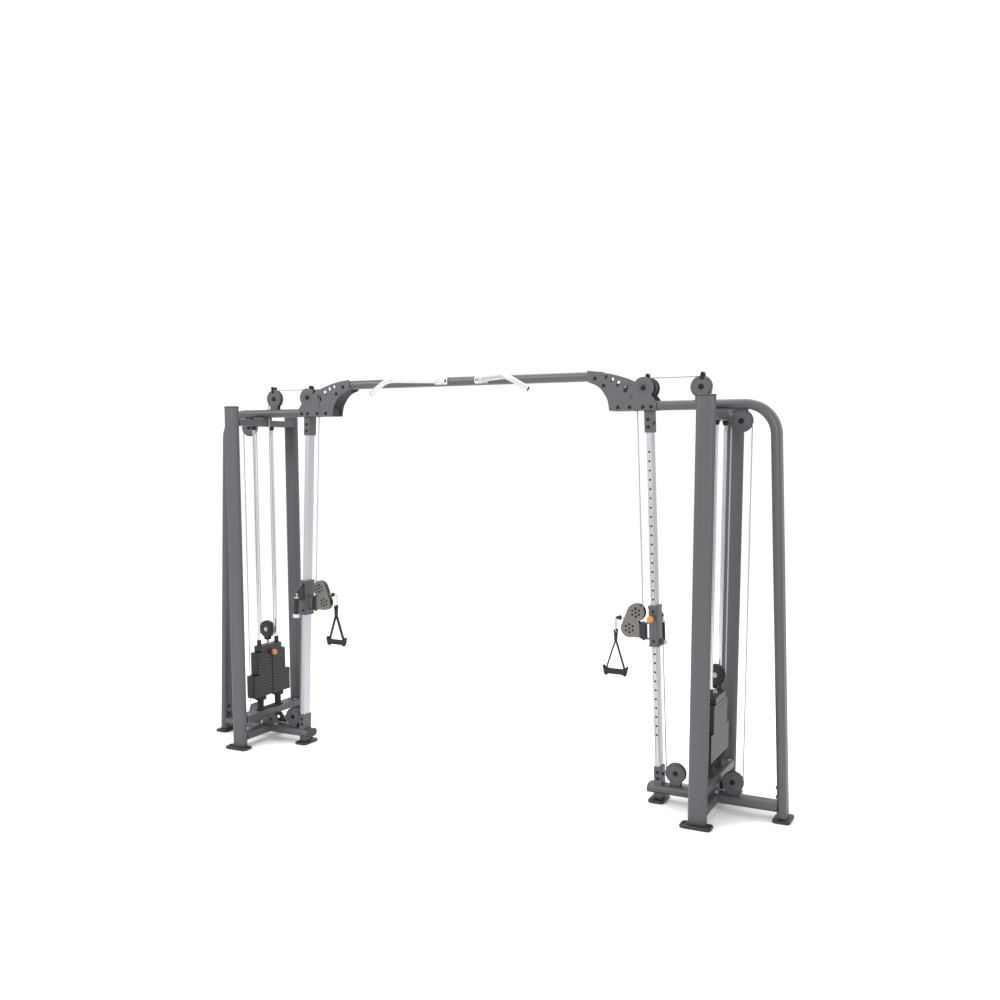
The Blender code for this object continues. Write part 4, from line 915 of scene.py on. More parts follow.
def build_pullup_bars():
    """Two bent steel bars that stand out from the crossbar on saddle plates, their ends plugged."""
    low, high = corners_of("right_pullup_handle")
    level = high[2] - 0.015
    root = np.array([0.115, -0.046, level])
    bend = np.array([0.389, -0.240, level])
    end = np.array([0.514, -0.222, level - 0.073])
    before = bend + unit(root - bend) * 0.045
    after = bend + unit(end - bend) * 0.045
    t = np.linspace(0, 1, 17)[:, None]
    curve = before * (1 - t) ** 2 + bend * 2 * t * (1 - t) + after * t**2
    route = np.concatenate([root[None], curve, end[None]])
    bar = pipe(route, 0.015, (0, 0, 1), 0.0045, 32)
    along = unit(bend - root)
    side = np.cross(along, (0, 0, 1.0))
    collar = [(0.0152, 0.055), (0.0185, 0.052), (0.0205, 0.030), (0.0205, 0.004), (0.0185, 0.0)]
    collar = lathed(collar, "xy", sides=40)
    collar = collar.moved(root, side, (0, 0, 1), along)
    saddle = prism(rounded(0.090, 0.044, 0.012), -0.004, 0.004, 0.0015, "xz").moved((0.135, -0.0525, level))
    skins = [bar, collar, saddle]
    both_sides("pullup_bar", skins, "handle_steel", "frame", ["pullup_handle"])
    way = unit(end - curve[-1])
    across = unit(np.cross(way, (0, 1.0, 0)))
    plug = drum(0.0135, -0.001, 0.0022, "xy", edge=0.001, sides=28)
    plug = plug.moved(end, across, np.cross(way, across), way)
    both_sides("pullup_bar_plug", [plug], "cap_black", "frame")
    screws = []
    for x in (0.104, 0.166):
        screws += bolt((x, -0.0565, level), "xz", -1, 0.0055)
    both_sides("pullup_bar_bolts", screws, "bolt_black", "frame")


# ---------------------------------------------------------------- base


def build_base():
    """The base rail, the tube between the posts, the stack's rail on its webs, and the column's foot."""
    leg_face = LEG_FOOT_X - BASE_TOP * math.tan(LEAN) - TUBE_THIN / 2
    rail = prism(flat_oval() + (0, BASE_Z), BASE_START_X + 0.002, leg_face + 0.004, 0.0015, "yz")
    reach = UPRIGHT_Y - TUBE_THIN / 2 + 0.004
    across = prism(flat_oval() + (TOWER_X, BASE_Z + 0.001), -reach, reach, 0.0015, "xz")
    sides = (-reach + 0.004, reach - 0.004)
    stack_rail = block((TOWER_X - 0.047, TOWER_X + 0.047), sides, (0.165, STACK_RAIL_TOP), 0.003)
    webs = []
    for side in (-1, 1):
        outline = np.array([
            (TOWER_X - 0.127, BASE_TOP - 0.014),
            (TOWER_X + 0.046, BASE_TOP - 0.014),
            (TOWER_X + 0.046, 0.172),
            (TOWER_X - 0.075, 0.172),
        ])
        low, high = sorted((side * 0.036, side * 0.042))
        hole = circle(0.012, 20, (TOWER_X - 0.045, 0.135))[::-1]
        webs.append(prism([outline, hole], low, high, 0.001, "xz"))
    post = block((1.199, 1.249), (-0.03, 0.03), (0.008, BASE_Z), 0.003)
    skins = [rail, across, stack_rail, *webs, post]
    both_sides("base_rails", skins, "frame_coat", "frame", ["base_frame"])
    cap = prism(flat_oval(0.0008) + (0, BASE_Z), BASE_START_X - 0.003, BASE_START_X + 0.005, 0.003, "yz")
    both_sides("base_rail_cap", [cap], "cap_black", "frame")
    cover, foot_bolts = foot_pad(COLUMN_FOOT, 0.090, 0.150)
    both_sides("column_foot", [cover], "cap_black", "frame")
    both_sides("column_foot_bolts", foot_bolts, "bolt_black", "frame")
    bolts = []
    for side in (-1, 1):
        for x, z in ((TOWER_X - 0.085, 0.110), (TOWER_X + 0.030, 0.110), (TOWER_X + 0.030, 0.150)):
            bolts += bolt((x, side * 0.042, z), "xz", side, 0.007)
        for x in (TOWER_X - 0.028, TOWER_X + 0.028):
            bolts += bolt((x, side * 0.240, STACK_RAIL_TOP), "xy", 1, 0.007)
    both_sides("base_bolts", bolts, "bolt_zinc", "frame")


# ---------------------------------------------------------------- weight stack


def build_guide_rods():
    """The two polished rods of each stack, their top rail and its bushings."""
    for name, y in (("front", -ROD_Y), ("rear", ROD_Y)):
        rod = [drum(0.0095, ROD_LOW[2], ROD_HIGH[2], "xy", (TOWER_X, y, 0), 0.001, 36)]
        both_sides(f"{name}_guide_rod", rod, "rod_chrome", "frame", [f"{name}_rod"])
    low, high = corners_of("right_top_rail")
    rail_high = low[2] + 0.040
    rail = block((low[0], high[0]), (low[1] - 0.003, high[1] + 0.003), (low[2], rail_high), 0.003)
    rise = (rail_high - 0.004, high[2] + 0.002)
    saddle = block((low[0] + 0.004, high[0] - 0.004), (-0.045, 0.045), rise, 0.002)
    both_sides("rod_rail", [rail, saddle], "frame_coat", "frame", ["top_rail"])
    cones = []
    for y in (-ROD_Y, ROD_Y):
        cone = [(0.0100, -0.024), (0.0125, -0.024), (0.0150, -0.014)]
        cone += [(0.0170, -0.002), (0.0170, 0.001), (0.0100, 0.001)]
        cones.append(lathed(cone, "xy", (TOWER_X, y, low[2]), 36, ring=True))
    both_sides("rod_bushings", cones, "rubber_black", "frame")


def weight_plate(low, depth):
    """One cast plate: a front slab drilled for the pin, and a body bored for the rods and stem."""
    high = low + PLATE_RISE - 0.0007
    face = TOWER_X - 0.034
    middle = (low + high) / 2
    outline = rounded(depth, high - low, 0.003, (0, middle), 4)
    slab = prism([outline, circle(0.0065, 20, (0, middle))[::-1]], face, face + 0.008, (0.0012, 0.0), "yz")
    body = rounded(0.060, depth, 0.004, (TOWER_X + 0.004, 0), 4)
    bores = [circle(0.0112, 20, (TOWER_X, y))[::-1] for y in (-ROD_Y, ROD_Y)]
    stem = circle(0.0115, 20, (TOWER_X, 0))[::-1]
    return [slab, prism([body, *bores, stem], low, high, 0.0014)]


def build_resting_plates():
    """Thirteen separate plates: seven wide ones and six narrower ones on top."""
    skins = []
    for i in range(LOWER_PLATES + UPPER_PLATES):
        depth = 0.360 if i < LOWER_PLATES else 0.274
        skins += weight_plate(STACK_LOW + i * PLATE_RISE, depth)
    both_sides("weight_plates", skins, "black_coat", "frame", ["resting_plates"])


def build_stack_head():
    """The plate the pin holds, the head block, its collars, stem, threaded neck and the wheel's yoke."""
    low = STACK_TOP + 0.0003
    rod_holes = [circle(0.0112, 24, (TOWER_X, y))[::-1] for y in (-ROD_Y, ROD_Y)]
    seam = low + PLATE_RISE - 0.0007
    plate = prism([rounded(0.068, 0.274, 0.004, (TOWER_X, 0), 4), *rod_holes], low, seam, 0.0015)
    head = prism([rounded(0.066, 0.208, 0.006, (TOWER_X, 0), 5), *rod_holes], seam, HEAD_TOP, 0.003)
    skins = [plate, head]
    for y in (-ROD_Y, ROD_Y):
        collar = [(0.0112, -0.004), (0.0165, -0.004), (0.0165, 0.006), (0.0145, 0.010), (0.0145, 0.037)]
        collar += [(0.0130, 0.040), (0.0112, 0.040)]
        skins.append(lathed(collar, "xy", (TOWER_X, y, HEAD_TOP), 32, ring=True))
    yoke_top = STACK_WHEEL[2] - 0.061
    yoke = (TOWER_X - 0.016, TOWER_X + 0.016), (-CHEEK_FAR, CHEEK_FAR), (yoke_top - 0.010, yoke_top)
    skins.append(block(*yoke, 0.0015))
    skins += cheek_plates(TOWER_X, STACK_WHEEL[2], yoke_top - 0.008, 0.036)
    both_sides("stack_head_block", skins, "black_coat", "stack", ["stack_head"])
    steps = np.linspace(0, 1, 97)
    thread = 0.0078 + 0.0006 * np.sin(steps * 2 * np.pi * 14)
    length = yoke_top - 0.008 - HEAD_TOP + 0.003
    neck = lathed(np.stack([thread, HEAD_TOP - 0.003 + steps * length], -1), "xy", (TOWER_X, 0, 0), 24)
    nut = prism(circle(0.0135, 6, (TOWER_X, 0)), HEAD_TOP, HEAD_TOP + 0.009, 0.0015)
    stem = drum(0.010, STACK_LOW + 0.005, STACK_TOP + 0.010, "xy", (TOWER_X, 0, 0), 0.002)
    steel = [neck, nut, stem, *axle_bolts(TOWER_X, STACK_WHEEL[2])]
    both_sides("stack_neck", steel, "bolt_zinc", "stack")


def build_selector_pins():
    """The selector pin: a ribbed round knob on a steel shaft."""
    face = TOWER_X - 0.034
    z = STACK_TOP + PLATE_RISE / 2
    profile = [(0.004, -0.032), (0.012, -0.032), (0.0165, -0.030), (0.019, -0.026)]
    profile += [(0.019, -0.013), (0.0172, -0.010), (0.013, -0.006), (0.012, -0.002), (0.004, -0.002)]
    knob = lathed(profile, "yz", (face, 0, z), 48)
    both_sides("selector_knob", [knob], "knob_orange", "selector", ["selector_pin"])
    shaft = drum(0.005, face - 0.020, TOWER_X + 0.012, "yz", (0, 0, z), 0.001, 20)
    both_sides("selector_shaft", [shaft], "handle_steel", "selector")


def build_bumpers():
    """The rubber buffers under each stack, ribbed, on one strip."""
    low = STACK_RAIL_TOP + 0.0003
    skins = [block((TOWER_X - 0.024, TOWER_X + 0.024), (-0.118, 0.118), (low, low + 0.004), 0.001)]
    top = STACK_LOW - 0.0003
    for y in (-ROD_Y, ROD_Y):
        profile = [(0.0112, low + 0.002), (0.022, low + 0.002)]
        for i in range(3):
            z = low + 0.016 + i * 0.016
            profile += [(0.022, z), (0.0195, z + 0.002), (0.0195, z + 0.005), (0.022, z + 0.007)]
        profile += [(0.022, top - 0.026), (0.036, top - 0.024), (0.040, top - 0.020)]
        profile += [(0.040, top - 0.004), (0.037, top), (0.0112, top)]
        skins.append(lathed(profile, "xy", (TOWER_X, y, 0), 40, ring=True))
    both_sides("stack_bumpers", skins, "rubber_black", "frame", ["bumpers"])


# ---------------------------------------------------------------- column and carriage


def build_columns():
    """The satin steel column: a front wall drilled with its row of holes, and the rest behind it."""
    low, high = 0.001 - PIN_UP_COLUMN, COLUMN_LENGTH - PIN_UP_COLUMN
    side, face = COLUMN_THIN / 2, COLUMN_DEEP / 2
    radius = chosen("hole_diameter") / 2
    outline = np.array([(-side, low), (side, low), (side, high), (-side, high)])
    heights = [HOLE_FIRST + i * HOLE_PITCH - PIN_UP_COLUMN for i in range(HOLE_COUNT)]
    holes = [circle(radius, 20, (0, height))[::-1] for height in heights]
    front = on_carriage(prism([outline, *holes], -face, -0.022, (0.0022, 0.0), "xz"))
    back = on_carriage(prism(outline, -0.022, face, (0.0, 0.0022), "xz"))
    steel = "column_steel"
    both_sides("column_bar", [front, back], steel, "frame", ["column"], turned=True)
    # Black plugs sit 1.5 mm down inside each hole: painted shade, a dark floor standing in for the shade
    # inside the holes.
    hole_shade_plugs = [
        on_carriage(drum(radius + 0.0001, -0.0285, -0.0215, "xz", (0, 0, height), 0.0004, 16))
        for height in heights
    ]
    both_sides("column_hole_liners", hole_shade_plugs, "bolt_black", "frame", turned=True)


def sleeve_skin(low, high, grow, edge, radius=0.007):
    """One band of the carriage's sleeve, bored for the column."""
    outer = rounded(0.0544 + 2 * grow, 0.0844 + 2 * grow, radius, steps=6)
    inner = rounded(0.0326, 0.0626, 0.003)[::-1]
    return on_carriage(prism([outer, inner], low, high, edge))


def build_carriages():
    """The sleeve with its lips, lugs, pivot, pin barrel, cable anchor and rear arm."""
    skins = [
        sleeve_skin(-0.157, 0.066, -0.0010, 0.002),
        sleeve_skin(-0.158, -0.146, 0.0012, 0.0018),
        sleeve_skin(0.052, 0.067, 0.0012, 0.0018),
    ]
    lug = np.concatenate([arc((STRAND_U, 0), 0.015, 90, 270, 18), [(-0.0245, -0.015), (-0.0245, 0.015)]])
    for low, high in ((-0.1238, -0.1183), (-0.0367, -0.0312)):
        skins.append(on_carriage(prism(lug, low, high, 0.0012)))
    barrel = [(0.0072, -0.0602), (0.0105, -0.0602), (0.0125, -0.0585), (0.0125, -0.050)]
    barrel += [(0.0150, -0.047), (0.0150, -0.0385), (0.0072, -0.0385)]
    skins.append(on_carriage(lathed(barrel, "xz", sides=36, ring=True)))
    anchor = rounded(0.0228, 0.028, 0.004, (0.0346, -0.131))
    skins.append(on_carriage(prism(anchor, -0.006, 0.006, 0.001, "xz")))
    arm = [(0.0395, -0.066), (0.116, -0.041), (0.118, -0.037), (0.118, 0.000), (0.114, 0.006)]
    arm = np.array([*arm, (0.0395, 0.053)])
    skins.append(on_carriage(prism(arm, 0.001, 0.009, 0.0015, "yz")))
    both_sides("carriage_sleeve", skins, "frame_coat", "carriage", ["carriage"], turned=True)
    bolts = [on_carriage(drum(0.0048, -0.131, -0.026, "xy", (STRAND_U, 0, 0), 0.001, 20))]
    for low in (-0.1300, -0.0312):
        bolts.append(on_carriage(prism(circle(0.0082, 6, (STRAND_U, 0)), low, low + 0.0055, 0.001)))
    for at, way in (((0.009, 0.0985, -0.004), 1), ((0.001, 0.0985, -0.004), -1)):
        bolts += [on_carriage(skin) for skin in bolt(at, "yz", way, 0.006)]
    for y, side in ((-0.0412, -1), (0.0412, 1)):
        for w in (-0.128, 0.036):
            bolts += [on_carriage(skin) for skin in bolt((0.0, y, w), "xz", side, 0.005)]
    both_sides("carriage_bolts", bolts, "bolt_black", "carriage", turned=True)
    ribs = [(0.0085, -0.040)]
    for i in range(13):
        w = -0.044 - i * 0.0076
        ribs += [(0.0140, w), (0.0140, w - 0.0048), (0.0131, w - 0.0056), (0.0131, w - 0.0070)]
    ribs += [(0.0138, -0.1425), (0.0085, -0.1435)]
    grip = on_carriage(lathed(ribs, "xy", GRIP_SPOT, 36))
    both_sides("carriage_grip", [grip], "rubber_black", "carriage", turned=True)
    ends = [
        on_carriage(drum(0.023, -0.167, -0.1435, "xy", GRIP_SPOT, 0.003, 40)),
        on_carriage(drum(0.0165, -0.0405, -0.034, "xy", GRIP_SPOT, 0.0015, 36)),
        on_carriage(drum(0.0075, -0.0345, -0.006, "xy", GRIP_SPOT, 0.001, 24)),
    ]
    both_sides("carriage_grip_ends", ends, "handle_steel", "carriage", turned=True)


def build_pop_pins():
    """The orange pull knob and its pin."""
    profile = [(0.006, -0.1027), (0.0115, -0.1027), (0.0150, -0.1010), (0.0178, -0.0965)]
    profile += [(0.0182, -0.0880), (0.0178, -0.0800), (0.0150, -0.0745)]
    profile += [(0.0120, -0.0710), (0.0105, -0.0610), (0.006, -0.0610)]
    knob = on_carriage(lathed(profile, "xz", sides=56))
    both_sides("pop_knob", [knob], "knob_orange", "pop_pin", ["pop_pin"], turned=True)
    pin = on_carriage(drum(0.005, -0.080, -0.0315, "xz", edge=0.0012, sides=20))
    both_sides("pop_pin_shaft", [pin], "handle_steel", "pop_pin", turned=True)


# ---------------------------------------------------------------- swivel housing

LOBE_UP = (-0.107, 0.024)
LOBE_LOW = (-0.146, -0.064)
LOBE_SLOPE = math.degrees(math.atan2(LOBE_UP[1] - LOBE_LOW[1], LOBE_UP[0] - LOBE_LOW[0]))


def housing_outline(inset=0.0):
    """The side plate: round about both small wheels, square beside the swivel block."""
    radius = 0.050 - inset
    right = -0.0875 - inset
    upper = arc(LOBE_UP, radius, -75, LOBE_SLOPE + 90, 36)
    lower = arc(LOBE_LOW, radius, LOBE_SLOPE + 90, 270, 22)
    low = LOBE_LOW[1] - radius
    corner = np.array([(right - 0.004, low), (right, low + 0.004), (right, -0.033)])
    return np.concatenate([upper, lower, corner])


def build_housings():
    """Two drilled side plates, the dark band between them, the swivel block and the axle screws."""
    holes = []
    for centre in (LOBE_UP, LOBE_LOW):
        for angle in np.radians(30 + np.arange(6) * 60):
            spot = (centre[0] + 0.0225 * math.cos(angle), centre[1] + 0.0225 * math.sin(angle))
            holes.append(circle(0.0060, 22, spot)[::-1])
    outline = housing_outline()
    plates = []
    for s in (-1, 1):
        plate = prism([outline, *holes], *sorted((s * 0.015, s * 0.018)), 0.0010, "xz")
        plates.append(on_carriage(plate))
    for s in (-1, 1):
        for centre in (LOBE_UP, LOBE_LOW):
            ring = [circle(0.0445, 48, centre), circle(0.0425, 48, centre)[::-1]]
            low, high = sorted((s * 0.0178, s * 0.0187))
            plates.append(on_carriage(prism(ring, low, high, 0.0003, "xz")))
    name = "swivel_housing"
    both_sides("housing_plates", plates, "housing_grey", "housing", [name], turned=True)
    radius = 0.0485
    turn = LOBE_SLOPE + 90
    spine = np.concatenate([arc(LOBE_UP, radius, 64, turn, 22), arc(LOBE_LOW, radius, turn, 131, 4)])
    heel = np.concatenate([arc(LOBE_LOW, radius, 190, 270, 14), [(-0.089, LOBE_LOW[1] - radius)]])
    bands = []
    for line in (spine, heel):
        path = np.stack([line[:, 0], np.zeros(len(line)), line[:, 1]], -1)
        way = unit(np.gradient(path, axis=0))
        strip = rounded(0.0306, 0.003, 0.0008, steps=2)
        bands.append(on_carriage(swept(strip, path, Y_AXIS, np.cross(way, Y_AXIS), 0.0006)))
    both_sides("housing_band", bands, "cap_black", "housing", turned=True)
    bore = circle(0.0056, 20, (STRAND_U, 0))[::-1]
    body = prism([rounded(0.037, 0.034, 0.004, (STRAND_U, 0)), bore], -0.118, -0.037, 0.0015)
    neck = block((-0.105, -0.086), (-0.0149, 0.0149), (-0.112, -0.044), 0.0015)
    swivel = [on_carriage(body), on_carriage(neck)]
    both_sides("housing_swivel_block", swivel, "black_coat", "housing", turned=True)
    screws = []
    for centre in (LOBE_UP, LOBE_LOW):
        for side in (-1, 1):
            face = side * 0.018
            low, high = sorted((face, face + side * 0.0022))
            screws.append(on_carriage(drum(0.0062, low, high, "xz", (centre[0], 0, centre[1]), 0.0007, 28)))
        screws.append(on_carriage(drum(0.006, -0.0165, 0.0165, "xz", (centre[0], 0, centre[1]), 0.0005, 20)))
    both_sides("housing_axles", screws, "bolt_black", "housing", turned=True)


# ---------------------------------------------------------------- handle and cable


def build_cable_stops():
    """The tapered rubber stop, its steel ferrule, and the spring hook that hangs in its eye."""
    x = STOP_START
    cone = [(0.0045, 0.0), (0.0118, 0.0), (0.0130, -0.0015), (0.0130, -0.0085), (0.0115, -0.0125)]
    cone += [(0.0070, -0.0250), (0.0058, -0.0262), (0.0045, -0.0262)]
    stop = lathed(cone, "yz", (x, 0, STOP_Z), 40, ring=True)
    both_sides("stop_cone", [stop], "rubber_black", "cable_end", ["cable_stop"], turned=True)
    core = drum(0.0050, HOOK[0] - 0.0005, x - 0.001, "yz", (0, 0, STOP_Z), 0.001, 24)
    ring = circle(0.0075, 28)
    eye = closed_pipe(np.stack([np.full(28, HOOK[0]), ring[:, 0], ring[:, 1]], -1), 0.0022, (1, 0, 0))
    eye = eye.moved((0.0, 0, STOP_Z - 0.004))
    rise, half = 0.027, 0.013
    middle = STOP_Z + 0.0035 - 0.040
    top = arc((0, middle + rise), half, 0, 180, 16)
    low = arc((0, middle - rise), half * 0.9, 180, 360, 16)
    outline = np.concatenate([top, low])
    route = np.stack([np.full(len(outline), HOOK[0]), outline[:, 0], outline[:, 1]], -1)
    hook = closed_pipe(route, 0.0033, (1, 0, 0))
    gate = drum(0.0046, middle - 0.016, middle + 0.018, "xy", (HOOK[0], -half, 0), 0.001, 24)
    pin = drum(0.0020, -0.006, 0.006, "yz", (HOOK[0], -half, middle - 0.020), 0.0005, 14)
    steel = [core, eye, hook, gate, pin]
    both_sides("spring_hook", steel, "handle_steel", "cable_end", turned=True)


def build_handles():
    """The sewn strap in one ribbon, its stitching, and the moulded grip with flared ends."""
    grip_z = HOOK[2] - 0.230
    apex_z = HOOK[2] - 0.046
    x = HOOK[0]
    reach = 0.0585
    half_turn = arc((0, HOOK[2] + 0.001), 0.0085, 0, 180, 14)
    right = np.array([(0.0035, apex_z - 0.012), (0.0045, apex_z + 0.004), (0.0050, HOOK[2] - 0.022)])
    down = np.array([(reach, grip_z + 0.004), (reach * 0.72, grip_z + 0.052), (reach * 0.36, grip_z + 0.118)])
    rise = np.concatenate([down, right])
    line = smooth_line(np.concatenate([rise, half_turn, rise[::-1] * (-1, 1)]), 5)
    path = np.stack([x + line[:, 0], np.zeros(len(line)), line[:, 1]], -1)
    way = unit(np.gradient(path, axis=0))
    section = rounded(chosen("strap_width"), 0.0032, 0.0013, steps=3)
    ribbon = swept(section, path, Y_AXIS, np.cross(way, Y_AXIS), 0.0008)
    half = chosen("strap_width") / 2 + 0.0002
    fold = block((x - 0.0062, x + 0.0062), (-half, half), (apex_z - 0.004, HOOK[2] - 0.010), 0.0015)
    black, straps = "rubber_black", [ribbon, fold]
    both_sides("handle_strap", straps, "webbing", "handle", ["handle"], turned=True, along=True)
    stitches = []
    for side in (-1, 1):
        for y in (-0.0088, 0.0088):
            for z in np.linspace(apex_z + 0.002, HOOK[2] - 0.016, 7):
                spot = (x + side * 0.0063, y, z)
                stitches.append(drum(0.0005, -0.0013, 0.0013, "xy", spot, 0.0, 6))
        for y in np.linspace(-0.0066, 0.0066, 5):
            for z in (apex_z + 0.002, HOOK[2] - 0.016):
                stitches.append(drum(0.0005, -0.0013, 0.0013, "xz", (x + side * 0.0063, y, z), 0.0, 6))
    both_sides("handle_stitches", stitches, "thread_grey", "handle", turned=True, along=True)
    profile = [(0.006, -0.0640), (0.0150, -0.0640), (0.0215, -0.0628), (0.0240, -0.0595), (0.0238, -0.0560)]
    profile += [(0.0215, -0.0500), (0.0190, -0.0440), (0.0176, -0.0400), (0.0168, -0.0370)]
    for i in range(10):
        u = -0.034 + i * 0.0036
        profile += [(0.0168, u - 0.0008), (0.0162, u), (0.0162, u + 0.0008), (0.0168, u + 0.0016)]
    profile = profile[:-1]  # the last rib's crest is the middle, which the mirrored half passes over
    profile += [(r, -u) for r, u in reversed(profile)]
    grip = lathed(profile, "yz", (x, 0, grip_z), 56)
    ends = []
    for side in (-1, 1):
        tilt = math.radians(-16 * side)
        lean_x, lean_z = (math.cos(tilt), 0, math.sin(tilt)), (-math.sin(tilt), 0, math.cos(tilt))
        cheek = prism(rounded(0.036, 0.062, 0.0175, (0, 0.004), 10), -0.0045, 0.0045, 0.0038, "yz")
        ends.append(cheek.moved((x + side * 0.0610, 0, grip_z), lean_x, Y_AXIS, lean_z))
    both_sides("handle_grip", [grip, *ends], "rubber_black", "handle", turned=True)


def wrap(centre, radius, start, end, steps=20):
    """Points round a wheel in the X-Z plane."""
    line = arc((centre[0], centre[2]), radius, start, end, steps)
    return np.stack([line[:, 0], np.zeros(len(line)), line[:, 1]], -1)


def strand(name, a, b, bodies):
    """A straight run of cable between two bodies, baked in place."""
    section = circle(chosen("cable_diameter") / 2, 16)
    skin = swept(section, np.array([a, b]), *square_to(unit(b - a)), 0)
    ends = (*bodies, a, b)
    both_sides(name, [skin], "cable_sheath", None, blend=ends, along=True)


def square_to(way):
    """Two directions square to a third, the first of them near Y."""
    side = unit(np.cross(way, np.cross(Y_AXIS, way)))
    return side, np.cross(way, side)


def build_cables():
    """The cable: wraps that ride with their wheels' bodies, and straight strands between them."""
    lean = math.degrees(LEAN)
    tail = wrap(UPPER_WHEEL, SMALL_PITCH, -90, lean, 22)
    exit_point = np.array([STOP_START + 0.0015, 0, STOP_Z])
    mouth = tail[0] + (-0.012, 0, 0)
    head = wrap(TOP_INNER, PITCH, 180 + lean, 90, 22)
    over = wrap(TOP_OUTER, PITCH, 90, 0, 22)
    top_run = np.concatenate([head, over])
    hang = wrap(HANGING, PITCH, 180, 0, 36)
    rising = wrap(BASE_INNER, PITCH, -90, -180 + lean, 20)
    low_run = np.concatenate([wrap(BASE_OUTER, PITCH, 0, -90, 20), rising])
    outer = np.concatenate([hang, low_run])
    loop = wrap(STACK_WHEEL, PITCH, 180, 360, 36)
    sheath, slot = "cable_sheath", "cable_grey"
    tail_route = np.concatenate([mouth[None], tail])
    for name, route, body, nodes in (
        ("cable_top_run", top_run, "frame", ["cable"]),
        ("cable_outer_run", outer, "frame", []),
        ("cable_stack_loop", loop, "stack", []),
        ("cable_tail", tail_route, "housing", []),
    ):
        run = [pipe(route, chosen("cable_diameter") / 2, edge=0)]
        both_sides(name, run, sheath, body, nodes, turned=body == "housing", along=True)
    strand("cable_exit", mouth, exit_point, ("housing", "cable_end"))
    strand("cable_inner_strand", head[0], tail[-1], ("frame", "carriage"))
    strand("cable_stack_strand_a", over[-1], loop[0], ("frame", "stack"))
    strand("cable_stack_strand_b", hang[0], loop[-1], ("frame", "stack"))
    anchor = PIN_POINT + ANCHOR_U * OUT_COLUMN - 0.145 * UP_COLUMN
    strand("cable_outer_strand", low_run[-1], anchor, ("frame", "carriage"))


# ---------------------------------------------------------------- stage


def build_stage():
    """Pale floor, soft lights and the camera."""
    mesh = bpy.data.meshes.new("studio_floor")
    edge = np.linspace(-30, 30, 7)
    x, y = np.meshgrid(edge, edge, indexing="xy")
    points = np.stack([x, y, np.zeros_like(x)], -1).reshape(-1, 3)
    row, column = np.meshgrid(np.arange(6), np.arange(6), indexing="ij")
    first = row * 7 + column
    quads = np.stack([first, first + 1, first + 8, first + 7], -1).reshape(-1, 4)
    mesh.from_pydata(points.tolist(), [], quads.tolist())
    mesh.materials.append(floor_finish())
    floor = bpy.data.objects.new("studio_floor", mesh)
    bpy.context.scene.collection.objects.link(floor)
    world = bpy.data.worlds.new("studio")
    world.use_nodes = True
    sky = world.node_tree.nodes["Background"]
    sky.inputs["Color"].default_value = (1, 1, 1, 1)
    sky.inputs["Strength"].default_value = 1.08
    bpy.context.scene.world = world
    bpy.context.scene.view_settings.view_transform = "Standard"
    lights = (
        ("key", (-3.5, -5.0, 5.5), 320, 3.0),
        ("fill", (5.5, -4.5, 4.0), 160, 3.0),
        ("top", (0.0, 1.5, 6.0), 220, 5.0),
    )
    for name, place, power, size in lights:
        data = bpy.data.lights.new(name, "AREA")
        data.energy = power
        data.size = size
        lamp = bpy.data.objects.new(name, data)
        lamp.location = place
        lamp.rotation_euler = (Vector((0.3, 0, 1.0)) - Vector(place)).to_track_quat("-Z", "Y").to_euler()
        bpy.context.scene.collection.objects.link(lamp)
    data = bpy.data.cameras.new("camera")
    data.lens = 36.44
    data.sensor_width = 36.0
    data.shift_x = 0.0031
    data.shift_y = 0.0562
    data.clip_end = 200
    camera = bpy.data.objects.new("camera", data)
    camera.location = (2.911, -5.263, 1.933)
    camera.rotation_euler = (math.pi / 2 - 0.1043, 0.0, 0.4744)
    bpy.context.scene.collection.objects.link(camera)
    bpy.context.scene.camera = camera


# ---------------------------------------------------------------- add-on


def colour_property(name, description, value):
    """A colour with no alpha."""
    return bpy.props.FloatVectorProperty(
        name=name, description=description, subtype="COLOR", size=3, min=0.0, max=1.0, default=value
    )


def size_property(name, description, value):
    """A length in metres."""
    return bpy.props.FloatProperty(
        name=name, description=description, unit="LENGTH", min=0.001, max=0.1, default=value
    )


class CrossoverSizes(bpy.types.PropertyGroup):
    """Sizes of the details that fit round the frame."""

    cable_diameter: size_property("Cable", "Thickness of the cable with its sheath", 0.0066)
    hole_diameter: size_property("Column holes", "Width of each adjustment hole", 0.011)
    foot_height: size_property("Foot pads", "Height of the moulded foot pads", 0.017)
    strap_width: size_property("Straps", "Width of the handle straps", 0.025)


class CrossoverColours(bpy.types.PropertyGroup):
    """Colours of the machine's finishes."""

    frame_coat: colour_property("Frame coat", "Powder coat of the tubes", (0.030, 0.030, 0.031))
    black_coat: colour_property("Black coat", "Paint of the weight plates", (0.009, 0.009, 0.009))
    column_steel: colour_property("Column", "Satin steel of the columns", (0.42, 0.41, 0.45))
    handle_steel: colour_property("Bright steel", "Pull-up bars and fittings", (0.68, 0.68, 0.69))
    rod_chrome: colour_property("Chrome", "Guide rods", (0.62, 0.62, 0.64))
    bolt_zinc: colour_property("Zinc", "Plated bolts", (0.42, 0.42, 0.43))
    bolt_black: colour_property("Black bolts", "Oxidised bolts", (0.008, 0.008, 0.009))
    pulley_nylon: colour_property("Nylon", "Wheels", (0.020, 0.020, 0.021))
    housing_grey: colour_property("Housing", "Swivel housing plates", (0.060, 0.058, 0.054))
    rubber_black: colour_property("Rubber", "Grips and buffers", (0.009, 0.009, 0.009))
    cap_black: colour_property("Caps", "Moulded caps and feet", (0.008, 0.008, 0.008))
    knob_orange: colour_property("Knobs", "Pull knobs and selector pins", (0.46, 0.15, 0.015))
    cable: colour_property("Cable", "Cable sheath", (0.30, 0.30, 0.31))
    webbing: colour_property("Webbing", "Handle straps", (0.007, 0.007, 0.007))


